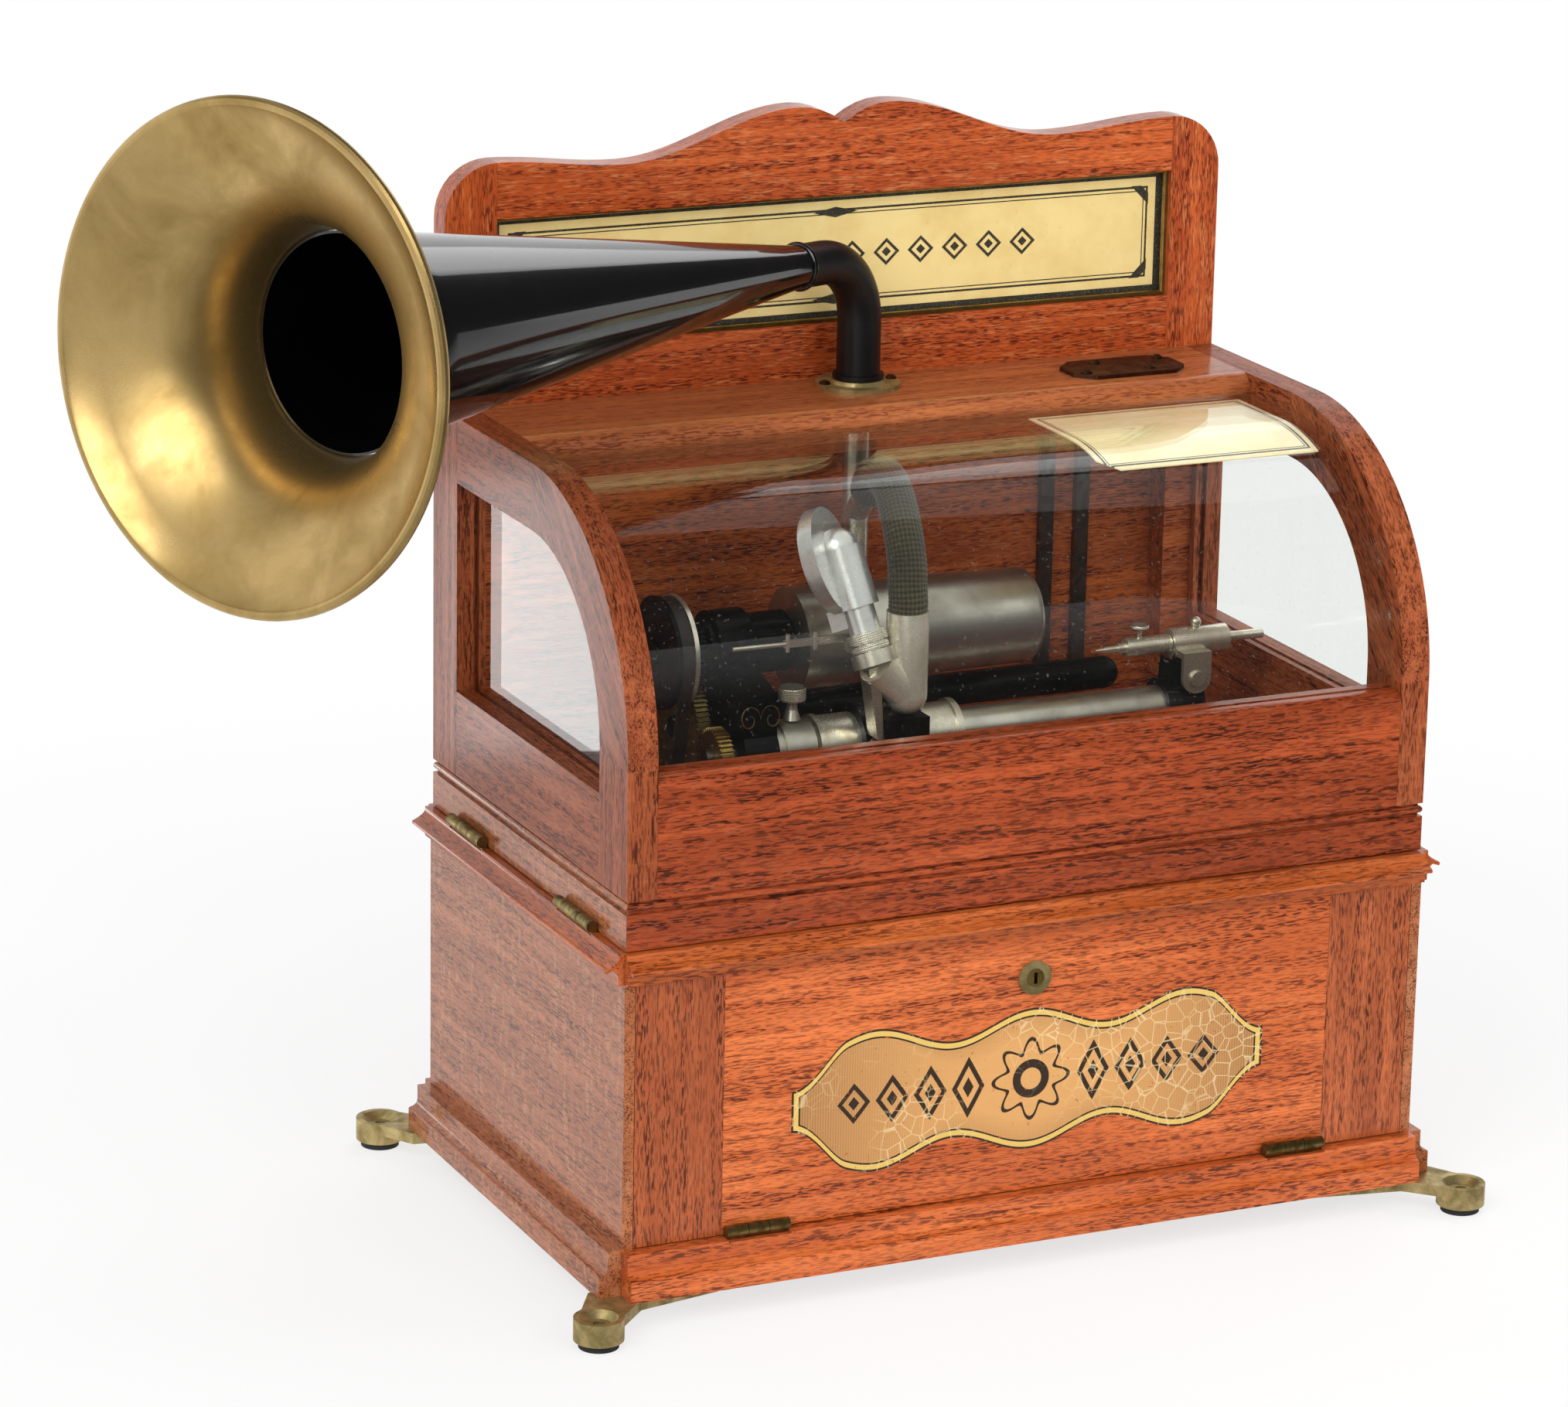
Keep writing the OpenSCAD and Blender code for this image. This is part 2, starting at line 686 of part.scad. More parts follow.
// Right-hand bracket that holds the end of the feed tube and the stop clamp
module end_bracket() {
    color(japan) difference() {
        union() {
            along_x(bracket_x, bracket_x + bracket_t) {
                polygon([[feed_y - 15, z_bed], [feed_y + 15, z_bed], [feed_y + 10, feed_z],
                    [feed_y + 6, stop_z - 7], [feed_y - 6, stop_z - 7], [feed_y - 10, feed_z]]);
                translate([feed_y, feed_z]) circle(d = feed_tube_d + 6);
            }
            box([bracket_x - 8, feed_y - 20, z_bed], [bracket_x + bracket_t + 8, feed_y + 20, z_bed + 6]);
            rod_x(feed_tube_d + 6, bracket_x - 4, bracket_x, feed_y, feed_z);
        }
        rod_x(feed_tube_d, bracket_x - 10, bracket_x + bracket_t + 10, feed_y, feed_z);
        rod_x(stop_body_d, bracket_x - 20, bracket_x + 60, feed_y, stop_z);
    }
}

// Clamp on top of the bracket that guides the stop rod
module stop_clamp() {
    ear_x = bracket_x + 9;
    ear_low = feed_z + 15;
    color(nickel) difference() {
        union() {
            rod_x(stop_body_d, bracket_x + 1, bracket_x + 29, feed_y, stop_z);
            box([ear_x - 7, feed_y - 12.5, ear_low], [ear_x + 7, feed_y - 10.2, stop_z - 2]);
            box([ear_x - 7, feed_y - 12.5, stop_z - 5], [ear_x + 7, feed_y, stop_z - 2]);
            rod_y(14, feed_y - 12.5, feed_y - 10.2, ear_x, ear_low);
            rod_y(7, feed_y - 14, feed_y - 12.5, ear_x, ear_low);
            translate([bracket_x + 14, feed_y, stop_z + 5]) cylinder(d = 4, h = 3);
            translate([bracket_x + 14, feed_y, stop_z + 8.5]) sphere(d = 5);
        }
        rod_x(stop_rod_d + 2 * run_gap, bracket_x - 1, bracket_x + 40, feed_y, stop_z);
    }
}

// Stop rod: pointed pin in a sleeve with a small thumbscrew, and the rod that slides in the clamp
module stop_rod() {
    sleeve_end = bracket_x + 1 - free_gap;
    sleeve_low = sleeve_end - 22;
    color(nickel) {
        rod_x(stop_rod_d, sleeve_end - 1, bracket_x + 48, feed_y, stop_z);
        rod_x(8.4, sleeve_low, sleeve_end, feed_y, stop_z);
        rod_x(4.6, sleeve_low - 4, sleeve_low + 1, feed_y, stop_z);
        rod_x(3, sleeve_low - 9, sleeve_low, feed_y, stop_z);
        translate([sleeve_low - 15, feed_y, stop_z]) rotate([0, 90, 0]) cylinder(d1 = 0.8, d2 = 3, h = 6);
        translate([sleeve_low + 7, feed_y, stop_z + 3]) cylinder(d = 2, h = 6);
        translate([sleeve_low + 7, feed_y, stop_z + 8.5]) cylinder(d = 8, h = 1.6);
    }
}

// Standpipe behind the mandrel, with a branch for the hose, ending just under the horn's elbow
module standpipe() {
    pipe_top = z_shelf - 2 * free_gap;
    v = [0, 1, -1] / sqrt(2);
    color(nickel) {
        translate([0, horn_y, z_bed]) cylinder(d = stand_d, h = pipe_top - z_bed);
        translate([0, horn_y, z_bed]) cylinder(d = 2.4 * stand_d, h = 3);
        translate([0, horn_y, z_bed + 3]) cylinder(d1 = 2 * stand_d, d2 = stand_d, h = 6);
        translate([0, horn_y, pipe_top - 8]) cylinder(d1 = stand_d, d2 = pipe_d, h = 5);
        translate([0, horn_y, pipe_top - 3]) cylinder(d = pipe_d, h = 3);
        rod_between(stand_d - 1, [0, horn_y, branch_z], hose_end + free_gap * v);
        rod_between(stand_d + 2, hose_end + (free_gap + 3) * v, hose_end + free_gap * v);
    }
}

// Motor frame: two plates hung from the motor board and four pillars
module motor_frame() {
    low = arbor_z - plate_reach;
    front = arbor_y - plate_reach;
    back = speed_y + plate_past;
    color(aged_brass) {
        for (x = [plate_l, plate_r]) difference() {
            box([x, front, low], [x + plate_t, back, z_waist]);
            rod_x(arbor_d + 2 * run_gap, x - 1, x + plate_t + 1, arbor_y, arbor_z);
            rod_x(motor_shaft_d + 2 * run_gap, x - 1, x + plate_t + 1, motor_y, motor_z);
            rod_x(speed_shaft_d + 2 * run_gap, x - 1, x + plate_t + 1, speed_y, motor_z);
        }
        for (y = [front + 4, back - 4], z = [low + 4, z_waist - 4])
            rod_x(6, plate_l + plate_t + eps, plate_r - eps, y, z);
    }
}

module coin_box() {
    wall = 1.5;
    depth = 40;
    x0 = strip_x[0] - 14;
    x1 = strip_x[1] + 22;
    y0 = arbor_y + 18;
    color(steel) difference() {
        box([x0, y0, z_case], [x1, in_d, z_case + depth]);
        box([x0 + wall, y0 + wall, z_case + wall], [x1 - wall, in_d - wall, z_case + depth + 1]);
    }
}

module crank_bush() {
    color(aged_brass) difference() {
        union() {
            rod_x(bush_d, in_w - 1, half_w + 1, arbor_y, arbor_z);
            rod_x(bush_d + 12, half_w, half_w + 2.5, arbor_y, arbor_z);
        }
        rod_x(arbor_d + 2 * run_gap, in_w - 5, half_w + 5, arbor_y, arbor_z);
    }
}

module drive_belt() {
    mid = pulley_x + pulley_t / 2;
    p = [mandrel_y, mandrel_z];
    q = [motor_y, motor_z];
    color([0.25, 0.15, 0.08]) along_x(mid - belt_w / 2, mid + belt_w / 2) difference() {
        band_outline(p, belt_r + belt_t, q, motor_belt_r + belt_t);
        band_outline(p, belt_r, q, motor_belt_r);
    }
}

// Hood skirt of four boards with a bead between two grooves along the top
module hood_skirt() {
    z = z_skirt + skirt_h;
    bead = bead_h / 2 - 1.2;
    outline = concat([[-board_t, z_skirt], [0, z_skirt], [0, z], [-1.6, z], [-1.6, z + 1.2]],
        arc([-bead, z + bead_h / 2], bead, -90, 90, 6),
        [[-1.6, z_frame - 1.2], [-1.6, z_frame], [-board_t, z_frame]]);
    color(oak) difference() {
        mitred_frame(hood_w, hood_d, outline);
        at_hood_hinges() leaf_cut(hood_hinge_len, free_gap - knuckle_r);
    }
}

// Opening of an end frame, grown by a margin
module end_window(grow) {
    end_outline(frame_w - hood_d - grow, open_back + grow, z_frame + end_rail_w - grow,
        z_top - frame_w + 1 + grow, curve_r - frame_w + grow);
}

// End frames: back stile, bottom rail and curved front member, grooved for the pane
module end_frames() {
    front = frame_w - hood_d;
    color(oak) for (s = [0, 1]) mirror([s, 0, 0]) difference() {
        along_x(hood_in, hood_w) {
            translate([open_back + joint_gap, z_frame]) square([hood_d - open_back - joint_gap, frame_h]);
            translate([front + joint_gap, z_frame])
                square([open_back - front - joint_gap, end_rail_w - joint_gap]);
            difference() {
                end_outline(-hood_d, open_back, z_frame, z_top, curve_r);
                end_window(0);
                translate([front, z_frame - 1]) square([open_back - front + 1, end_rail_w + 1]);
            }
        }
        along_x(hood_w - glass_set - glass_t, hood_w - glass_set) end_window(pane_groove);
    }
}

// Front rail with a rounded sill and a groove for the curved glass
module front_rail() {
    round_r = 5;
    top = z_frame + rail_h;
    color(oak) along_x(-hood_in + joint_gap, hood_in - joint_gap) difference() {
        union() {
            translate([-hood_d, z_frame]) square([rail_t, rail_h - round_r]);
            translate([-hood_d + round_r, z_frame]) square([rail_t - round_r, rail_h]);
            translate([-hood_d + round_r, top - round_r]) circle(round_r);
        }
        translate([-hood_d + glass_set - joint_gap, top - round_r])
            square([glass_t + 2 * joint_gap, round_r + 1]);
    }
}

module top_shelf() {
    color(oak) difference() {
        along_x(-hood_in + joint_gap, hood_in - joint_gap) {
            translate([shelf_y + shelf_t / 2, z_shelf]) square([shelf_d - shelf_t / 2, shelf_t]);
            translate([shelf_y + shelf_t / 2, z_shelf + shelf_t / 2]) circle(d = shelf_t);
        }
        translate([0, horn_y, z_shelf - 1]) cylinder(d = pipe_d + 4 * free_gap, h = shelf_t + 2);
    }
}

// Back panel with a batten inside each corner
module hood_back() {
    batten = 14;
    inner = hood_in - joint_gap;
    color(oak) {
        box([-inner, back_y, z_frame], [inner, hood_d, z_shelf]);
        for (s = [0, 1]) mirror([s, 0, 0]) box([inner - batten, back_y - batten, z_frame + 8],
            [inner, back_y - joint_gap, z_shelf]);
    }
}

module flat_panes() {
    color(pane) {
        for (s = [0, 1]) mirror([s, 0, 0])
            along_x(hood_w - glass_set - glass_t, hood_w - glass_set) end_window(pane_groove);
        sign_sheet(sign_y + sign_lip, glass_t, sign_rebate);
    }
}

// Flat sheet behind the sign board's window, larger than it by a margin
module sign_sheet(y, t, grow) {
    box([-window_w - grow, y, window_z - grow], [window_w + grow, y + t, window_z + window_h + grow]);
}

// Curved glass from the front rail up and over to the shelf
module front_glass() {
    outer = curve_r - glass_set;
    low = z_frame + rail_h - 5;
    color(pane) along_x(-hood_in + joint_gap, hood_in - joint_gap) difference() {
        end_outline(-hood_d + glass_set, shelf_y - joint_gap, low, z_top - glass_set, outer);
        end_outline(-hood_d + glass_set + glass_t, shelf_y + 1, low - 1, z_top - glass_set - glass_t,
            outer - glass_t);
    }
}

// Height of the sign board's scrolled top at a distance from the middle
function scroll(a) = a < hump_x ? hump_h - notch_h * pow(1 - a / hump_x, 2)
    : a < dip_x ? -dip_h + (hump_h + dip_h) * (1 + cos(180 * (a - hump_x) / (dip_x - hump_x))) / 2
    : -dip_h * (1 + cos(180 * (a - dip_x) / (window_w - dip_x))) / 2;

// Sign board: two stiles with rounded tops, a bottom rail, a scrolled top rail and a thin back
module sign_frame() {
    z_shoulder = window_z + window_h + shoulder_h;
    stile_x = window_w + joint_gap / 2;
    rail_x = window_w - joint_gap / 2;
    color(dark_oak) {
        difference() {
            along_y(sign_y, hood_d) {
                for (s = [0, 1]) mirror([s, 0, 0]) polygon(concat([[stile_x, z_top], [hood_w, z_top]],
                    arc([window_w, z_shoulder - stile_w], stile_w, 0, 89, 10), [[stile_x, z_shoulder]]));
                translate([-rail_x, z_top]) square([2 * rail_x, sill_w]);
                polygon(concat([[-rail_x, window_z + window_h], [rail_x, window_z + window_h]],
                    [for (i = [0 : 60]) let (x = rail_x * (1 - i / 30)) [x, z_shoulder + scroll(abs(x))]]));
            }
            sign_sheet(sign_y + sign_lip, sign_t, sign_rebate);
        }
        sign_sheet(card_y + card_t, hood_d - card_y - card_t, sign_rebate - joint_gap);
    }
}

module sign_card() {
    color(card) sign_sheet(card_y, card_t, sign_rebate);
}

// Coin plate with cut corners
module coin_plate() {
    cut = 8;
    a = plate_w / 2;
    b = plate_d / 2;
    color(aged_brass) translate([plate_x, plate_y, z_top]) linear_extrude(plate_h)
        polygon([[-a, -b + cut], [-a + cut, -b], [a - cut, -b], [a, -b + cut],
            [a, b - cut], [a - cut, b], [-a + cut, b], [-a, b - cut]]);
}

// Round-headed screws of the coin plate and the flange
module top_screws() {
    head = 5;
    edge = 2.8;
    color(brass) {
        for (x = [-22, -10, 10, 22], s = [-1, 1]) if (s * x * (abs(x) - 15) > 0)
            translate([plate_x + x, plate_y + s * 8, z_top + plate_h]) screw_head(head);
        for (s = [-1, 1]) translate([s * (flange_d / 2 - edge), horn_y, z_top + flange_t]) screw_head(head);
    }
}

module screw_head(d) {
    cylinder(d = d, h = 0.6);
    translate([0, 0, 0.6]) cylinder(d1 = d, d2 = d / 2, h = 0.9);
}

module chute_strips() {
    color(steel) for (x = strip_x) box([x, back_y - 4, z_frame + 4], [x + 6.5, back_y, z_shelf]);
}

// Instruction card bent to the inside of the curved glass, one corner cut off
module instruction_card() {
    t = 0.6;
    low_turn = 112;
    outer = curve_r - glass_set - glass_t - free_gap;
    corner = [card_x[0], curve_y + outer * cos(low_turn), curve_z + outer * sin(low_turn)];
    color(card) difference() {
        along_x(card_x[0], card_x[1]) translate([curve_y, curve_z]) {
            intersection() {
                difference() {
                    circle(outer);
                    circle(outer - t);
                }
                polygon([[0, 0], 2 * outer * [cos(low_turn), sin(low_turn)], [0, 2 * outer]]);
            }
            translate([0, outer - t]) square([shelf_y - curve_y - 1, t]);
        }
        translate(corner) rotate(45) cube([12, 12, 40], center = true);
    }
}

module horn_flange() {
    color(aged_brass) translate([0, horn_y, z_top]) difference() {
        union() {
            cylinder(d = flange_d, h = flange_t);
            cylinder(d1 = pipe_d + 9, d2 = pipe_d + 5, h = flange_t + 1.6);
        }
        translate([0, 0, -1]) cylinder(d = pipe_d + 2 * free_gap, h = 10);
    }
}

module hood_hinge_flaps() {
    color(brass) at_hood_hinges() hinge_moving(hood_hinge_len);
}

// Brass bell: flare given along the horn's axis, with a bead at its throat and a rolled rim
function flare(t) = throat_d / 2 + (bell_rim - throat_d / 2) * (0.16 * t + 0.84 * pow(t, 3.4));

module bell() {
    steps = 16;
    color(brass) at_horn_axis() rotate_extrude() polygon(concat(
        [for (i = [0 : steps - 1]) [flare(i / steps), bell_from + bell_run * i / steps]],
        arc([bell_rim, horn_len - rim_d / 2], rim_d / 2, 150, -150, 10),
        [for (i = [steps - 1 : -1 : 2]) let (t = i / steps)
            [flare(t) + bell_wall, bell_from + bell_run * t - bell_wall * t]],
        arc([throat_d / 2 + bell_wall + 0.4, bell_from + 2], 2, 60, -60, 5)));
}

// Straight cone from the elbow to the bell, with a bead at the joint
module cone() {
    wall = 1;
    lap = 4;
    small = pipe_d / 2;
    wide = throat_d / 2 - joint_gap;
    color(japan) at_horn_axis() rotate_extrude() difference() {
        union() {
            polygon([[small - wall, 0], [small, 0], [small, 6], [wide, bell_from], [wide, bell_from + lap],
                [wide - wall, bell_from + lap], [wide - wall, bell_from], [small - wall, 6]]);
            translate([small, 2]) circle(d = 2.4);
        }
        square([small - wall, horn_len]);
    }
}

// Elbow pipe through the flange and the shelf, with a collar resting over the flange
module elbow() {
    wall = 1.2;
    collar_z = flange_t + 1.6 + free_gap;
    color(japan) at_horn() difference() {
        union() {
            elbow_run(pipe_d, 0);
            translate([0, 0, collar_z]) cylinder(d = pipe_d + 3.4, h = 2);
        }
        elbow_run(pipe_d - 2 * wall, 1);
    }
}

// Run of the elbow at a diameter, carried on past both ends by a margin
module elbow_run(d, over) {
    bend = 90 - horn_rise;
    translate([0, 0, -shelf_t - over]) cylinder(d = d, h = riser_h + shelf_t + over);
    translate([elbow_r, 0, riser_h]) rotate([90, 0, 0]) rotate(180 - bend) rotate_extrude(angle = bend)
        translate([elbow_r, 0]) circle(d = d - joint_gap);
    translate([elbow_r * (1 - cos(bend)), 0, riser_h + elbow_r * sin(bend)]) rotate([0, bend, 0])
        cylinder(d = d, h = joint_run + over);
}

// Carriage sleeve with a rim at each end, sliding on the feed tube
module carriage_sleeve() {
    end = sleeve_x + sleeve_len;
    color(nickel) difference() {
        union() {
            rod_x(sleeve_d, sleeve_x, end, feed_y, feed_z);
            rod_x(sleeve_d + 2.4, end - 3, end, feed_y, feed_z);
            rod_x(sleeve_d + 1.6, sleeve_x, sleeve_x + 2.5, feed_y, feed_z);
        }
        rod_x(feed_tube_d + 2 * run_gap, sleeve_x - 1, end + 1, feed_y, feed_z);
    }
}

// Saddle clamped on the front of the sleeve
module saddle() {
    pad_top = ferrule_at[2] - ferrule_d / 2 - joint_gap;
    color(japan) difference() {
        union() {
            intersection() {
                rod_x(sleeve_d + 9, saddle_x[0], saddle_x[1], feed_y, feed_z);
                box([saddle_x[0], feed_y - sleeve_d, feed_z - 8],
                    [saddle_x[1], feed_y + 4, feed_z + sleeve_d]);
            }
            box([saddle_x[0] + 4, feed_y - 28, feed_z + 8], [saddle_x[1] - 4, feed_y - 8, pad_top]);
        }
        rod_x(sleeve_d, saddle_x[0] - 1, saddle_x[1] + 1, feed_y, feed_z);
    }
}

// Ferrule for the hose, joined by a bent tube to the reproducer's socket
module ferrule() {
    color(nickel) difference() {
        union() {
            translate(ferrule_at) cylinder(d = ferrule_d, h = ferrule_len);
            translate(ferrule_at) sphere(d = ferrule_d);
            rod_between(ferrule_d - 2, ferrule_at, socket_at);
        }
        at_neck() translate([0, 0, socket_low]) cylinder(d = neck_d + 2 * free_gap, h = 2 * socket_len);
    }
}

// Flat arm from the saddle up to the socket ring round the reproducer's neck
module carriage_arm() {
    foot = feed_z + 8;
    color(nickel) difference() {
        union() {
            at_neck() translate([0, 0, socket_low]) cylinder(d = 19, h = socket_len);
            along_y(feed_y - 26, feed_y - 16) polygon([[saddle_x[0] + 1, foot],
                [saddle_x[0] + 4 - joint_gap, foot], [neck_at[0] + 3, neck_at[2] - 8],
                [neck_at[0] - 3, neck_at[2] - 8]]);
        }
        at_neck() translate([0, 0, socket_low - 1]) cylinder(d = neck_d + 2 * run_gap, h = socket_len + 2);
        at_neck() translate([0, 0, socket_low + socket_len]) cylinder(d = 40, h = 12);
        rod_between(ferrule_d - 2 + 2 * joint_gap, ferrule_at, socket_at);
        translate(ferrule_at) cylinder(d = ferrule_d + 2 * joint_gap, h = ferrule_len);
        rod_x(sleeve_d + 9 + 2 * joint_gap, saddle_x[0] - 9, saddle_x[1], feed_y, feed_z);
    }
}

// Braided hose swept along its route
function route_at(t) = let (i = min(floor(t), hose_last - 1), u = t - i, a = hose_route[max(i - 1, 0)],
    b = hose_route[i], c = hose_route[i + 1], d = hose_route[min(i + 2, hose_last)])
    hose_at + 0.5 * (2 * b + (c - a) * u + (2 * a - 5 * b + 4 * c - d) * u * u
        + (3 * b - a - 3 * c + d) * u * u * u);
function unit(v) = v / norm(v);
function route_dir(t) = t <= 0 ? [0, 0, 1] : t >= hose_last ? unit([0, 1, -1])
    : unit(route_at(t + 0.05) - route_at(t - 0.05));

module hose() {
    rings = hose_last * hose_steps;
    points = [for (k = [0 : rings]) let (t = k / hose_steps, p = route_at(t), w = route_dir(t),
        v = unit(cross(w, [1, 0, 0])), u = cross(v, w)) for (j = [0 : hose_sides - 1])
        let (a = 360 * j / hose_sides) p + hose_d / 2 * (cos(a) * u + sin(a) * v)];
    walls = [for (k = [0 : rings - 1], j = [0 : hose_sides - 1]) let (a = k * hose_sides, b = a + hose_sides,
        m = (j + 1) % hose_sides) each [[a + j, b + j, b + m], [a + j, b + m, a + m]]];
    last = rings * hose_sides;
    ends = [for (j = [1 : hose_sides - 2]) each [[0, j, j + 1], [last, last + j + 1, last + j]]];
    color([0.29, 0.27, 0.21]) polyhedron(points, concat(walls, ends), convexity = 4);
}

// Reproducer: disc on edge with a sound tube merging into its face, a weight block and a neck
module reproducer_head() {
    disc_x = -9.5;
    disc_t = 6;
    color([0.80, 0.80, 0.79]) at_neck() {
        translate([disc_x, 0, head_rise]) rotate([0, 90, 0]) cylinder(d = head_d, h = disc_t);
        translate([disc_x - 1.5, 0, head_rise]) rotate([0, 90, 0]) difference() {
            cylinder(d = head_d - 3, h = 2);
            translate([0, 0, -1]) cylinder(d = head_d - 12, h = 4);
        }
        translate([0, 0, 16]) cylinder(d = 19, h = head_rise - 12);
        translate([-1, 0, head_rise + 4]) sphere(d = 18);
        translate([0, 0, nut_top]) cylinder(d = 14, h = 16 - nut_top + eps);
        translate([0, 0, socket_low + free_gap]) cylinder(d = neck_d, h = nut_top - socket_low);
        box([disc_x - 3.5, -4.6, 8.6], [disc_x + 4.5, 4.6, 17.6]);
    }
}

// Two knurled nuts that clamp the neck
module neck_nuts() {
    color(nickel) at_neck() difference() {
        union() {
            translate([0, 0, nut_low]) cylinder(d = 16.4, h = 3);
            translate([0, 0, nut_low + 3]) cylinder(d = 14, h = nut_gap);
            translate([0, 0, nut_low + 3 + nut_gap]) cylinder(d = 17.6, h = nut_top - nut_low - 3 - nut_gap);
        }
        translate([0, 0, nut_low - 1]) cylinder(d = neck_d, h = 20);
    }
}

// Thin trip bar behind the socket with two pins, and a rod that reaches farther left
module trip_bar() {
    bar_low = neck_at[2] - 2.6;
    bar_back = neck_at[1] + 13.6;
    left = neck_at[0] - 34;
    rod_run = 24;
    color(nickel) {
        rod_x(2, left - rod_run, left + 1, bar_back + 0.6, bar_low + 1.7);
        box([left, bar_back, bar_low], [neck_at[0] - 1.5, bar_back + 1.2, bar_low + 3.4]);
        difference() {
            box([neck_at[0] - 4.5, neck_at[1] - 2, bar_low - 4], [neck_at[0] - 1.5, bar_back + 1.2, bar_low]);
            at_neck() translate([0, 0, socket_low - 10]) cylinder(d = 19 + 2 * joint_gap, h = 30);
        }
        for (x = [left + 2, left + 15]) translate([x, bar_back + 0.6, bar_low - 2]) cylinder(d = 2, h = 8);
    }
}

// Mandrel: tapered shell on a hub, closed at its free end with a rounded edge
module mandrel() {
    wall = 2.2;
    big = mandrel_d / 2;
    small = mandrel_end_d / 2;
    round_r = 4;
    hub = shaft_d / 2;
    outline = concat([[hub, 0], [big, 0], [small, mandrel_len - round_r]],
        arc([small - round_r, mandrel_len - round_r], round_r, 0, 90, 6),
        [[0, mandrel_len], [0, mandrel_len - wall], [small - wall - 1, mandrel_len - wall - 1],
            [big - wall, 4], [hub + 4, 4], [hub + 4, 20], [hub, 20]]);
    color(nickel) translate([mandrel_x, mandrel_y, mandrel_z]) rotate([0, 90, 0])
        rotate_extrude() polygon(outline);
}

// Drive pulley with its shaft, which carries the mandrel and its gear
module drive_pulley() {
    color(steel) {
        rod_x(shaft_d, pulley_x - 2, mandrel_x + 22, mandrel_y, mandrel_z);
        for (x = [pulley_x, pulley_x + pulley_t - flange_t])
            rod_x(pulley_d, x, x + flange_t, mandrel_y, mandrel_z);
        rod_x(groove_d, pulley_x + eps, pulley_x + pulley_t - eps, mandrel_y, mandrel_z);
        gear(mandrel_teeth, gear_module, mandrel_turn, 1, gear_x, gear_t, mandrel_y, mandrel_z);
    }
}

module idler_gear() {
    color(japan) gear(idler_teeth, gear_module, idler_turn, idler_pin_d + 2 * run_gap, gear_x, gear_t,
        idler_y, idler_z);
}

module feed_screw() {
    color(steel) rod_x(feed_screw_d, gear_x - 3, bracket_x + bracket_t - 2, feed_y, feed_z);
}

module feed_gear() {
    color(brass) gear(feed_teeth, gear_module, feed_turn, feed_screw_d, gear_x, gear_t, feed_y, feed_z);
}

// Spring barrel with its great wheel, on its arbor
module spring_barrel() {
    drum_x = great_x + wheel_t + 14;
    color(brass) {
        rod_x(arbor_d, plate_l, plate_r + plate_t, arbor_y, arbor_z);
        gear(great_teeth, motor_module, motor_angle, 1, great_x, wheel_t, arbor_y, arbor_z);
        rod_x(barrel_d, drum_x, drum_x + barrel_len, arbor_y, arbor_z);
        rod_x(arbor_d + 10, great_x + wheel_t - eps, drum_x + eps, arbor_y, arbor_z);
    }
}

// Motor pulley, its shaft, the pinion driven by the great wheel and the wheel that drives the governor
module motor_pulley() {
    color(steel) {
        rod_x(motor_shaft_d, pulley_x - 1, plate_r + plate_t, motor_y, motor_z);
        rod_x(motor_groove_d, pulley_x + 0.5, pulley_x + pulley_t - 0.5, motor_y, motor_z);
        for (x = [pulley_x, pulley_x + pulley_t - flange_t])
            rod_x(motor_groove_d + 5, x, x + flange_t, motor_y, motor_z);
        gear(pinion_teeth, motor_module, motor_angle + 180 + 180 / pinion_teeth, 1, great_x - 1, wheel_t + 2,
            motor_y, motor_z);
        gear(speed_teeth, speed_module, 0, 1, wheel_x, wheel_t - 1, motor_y, motor_z);
    }
}

// Governor: pinion, two hubs, three weights on flat springs and a brake disc
module governor() {
    hub_l = wheel_x + 12;
    hub_r = plate_r - 14;
    mid = (hub_l + hub_r) / 2 + 3;
    reach = 10.5;
    color(brass) {
        rod_x(speed_shaft_d, plate_l, plate_r + plate_t, speed_y, motor_z);
        gear(speed_pinion, speed_module, 180 + 180 / speed_pinion, 1, wheel_x - 1, wheel_t + 1,
            speed_y, motor_z);
        for (x = [hub_l, hub_r]) rod_x(12, x, x + 6, speed_y, motor_z);
        rod_x(24, hub_r + 6 - eps, hub_r + 8, speed_y, motor_z);
        for (k = [0 : 2]) translate([0, speed_y, motor_z]) rotate([120 * k, 0, 0]) {
            rod_x(8, mid - 4, mid + 4, 0, reach);
            along_y(-2, 2) polygon([[hub_l + 1, 4.5], [hub_l + 5, 4.5], [mid, reach - 1], [hub_r + 1, 4.5],
                [hub_r + 5, 4.5], [hub_r + 5, 5.5], [mid, reach + 1], [hub_l + 1, 5.5]]);
        }
    }
}

// Winding crank: shaft in its bush up to the barrel's arbor, arm hanging outside at the right, and a grip
module winding_crank() {
    arm_x = half_w + base_out + 5;
    grip_z = arbor_z - crank_len;
    color(japan) {
        rod_x(arbor_d, plate_r + plate_t + free_gap, arm_x + 9, arbor_y, arbor_z);
        translate([0, arbor_y, arbor_z]) along_x(arm_x, arm_x + 6) {
            circle(10);
            translate([0, -crank_len]) circle(7);
            polygon([[-8, 0], [8, 0], [5, -crank_len], [-5, -crank_len]]);
        }
        rod_x(7, arm_x + 5, arm_x + 10, arbor_y, grip_z);
        translate([arm_x + 9, arbor_y, grip_z]) rotate([0, 90, 0]) rotate_extrude() polygon(concat(
            [[0, 0], [6, 0]], [for (i = [0 : 8]) [7 + 2.5 * sin(22.5 * i), 1 + 24 * i / 8]],
            [[6, 26.5], [3, 27.5], [0, 27.5]]));
    }
}

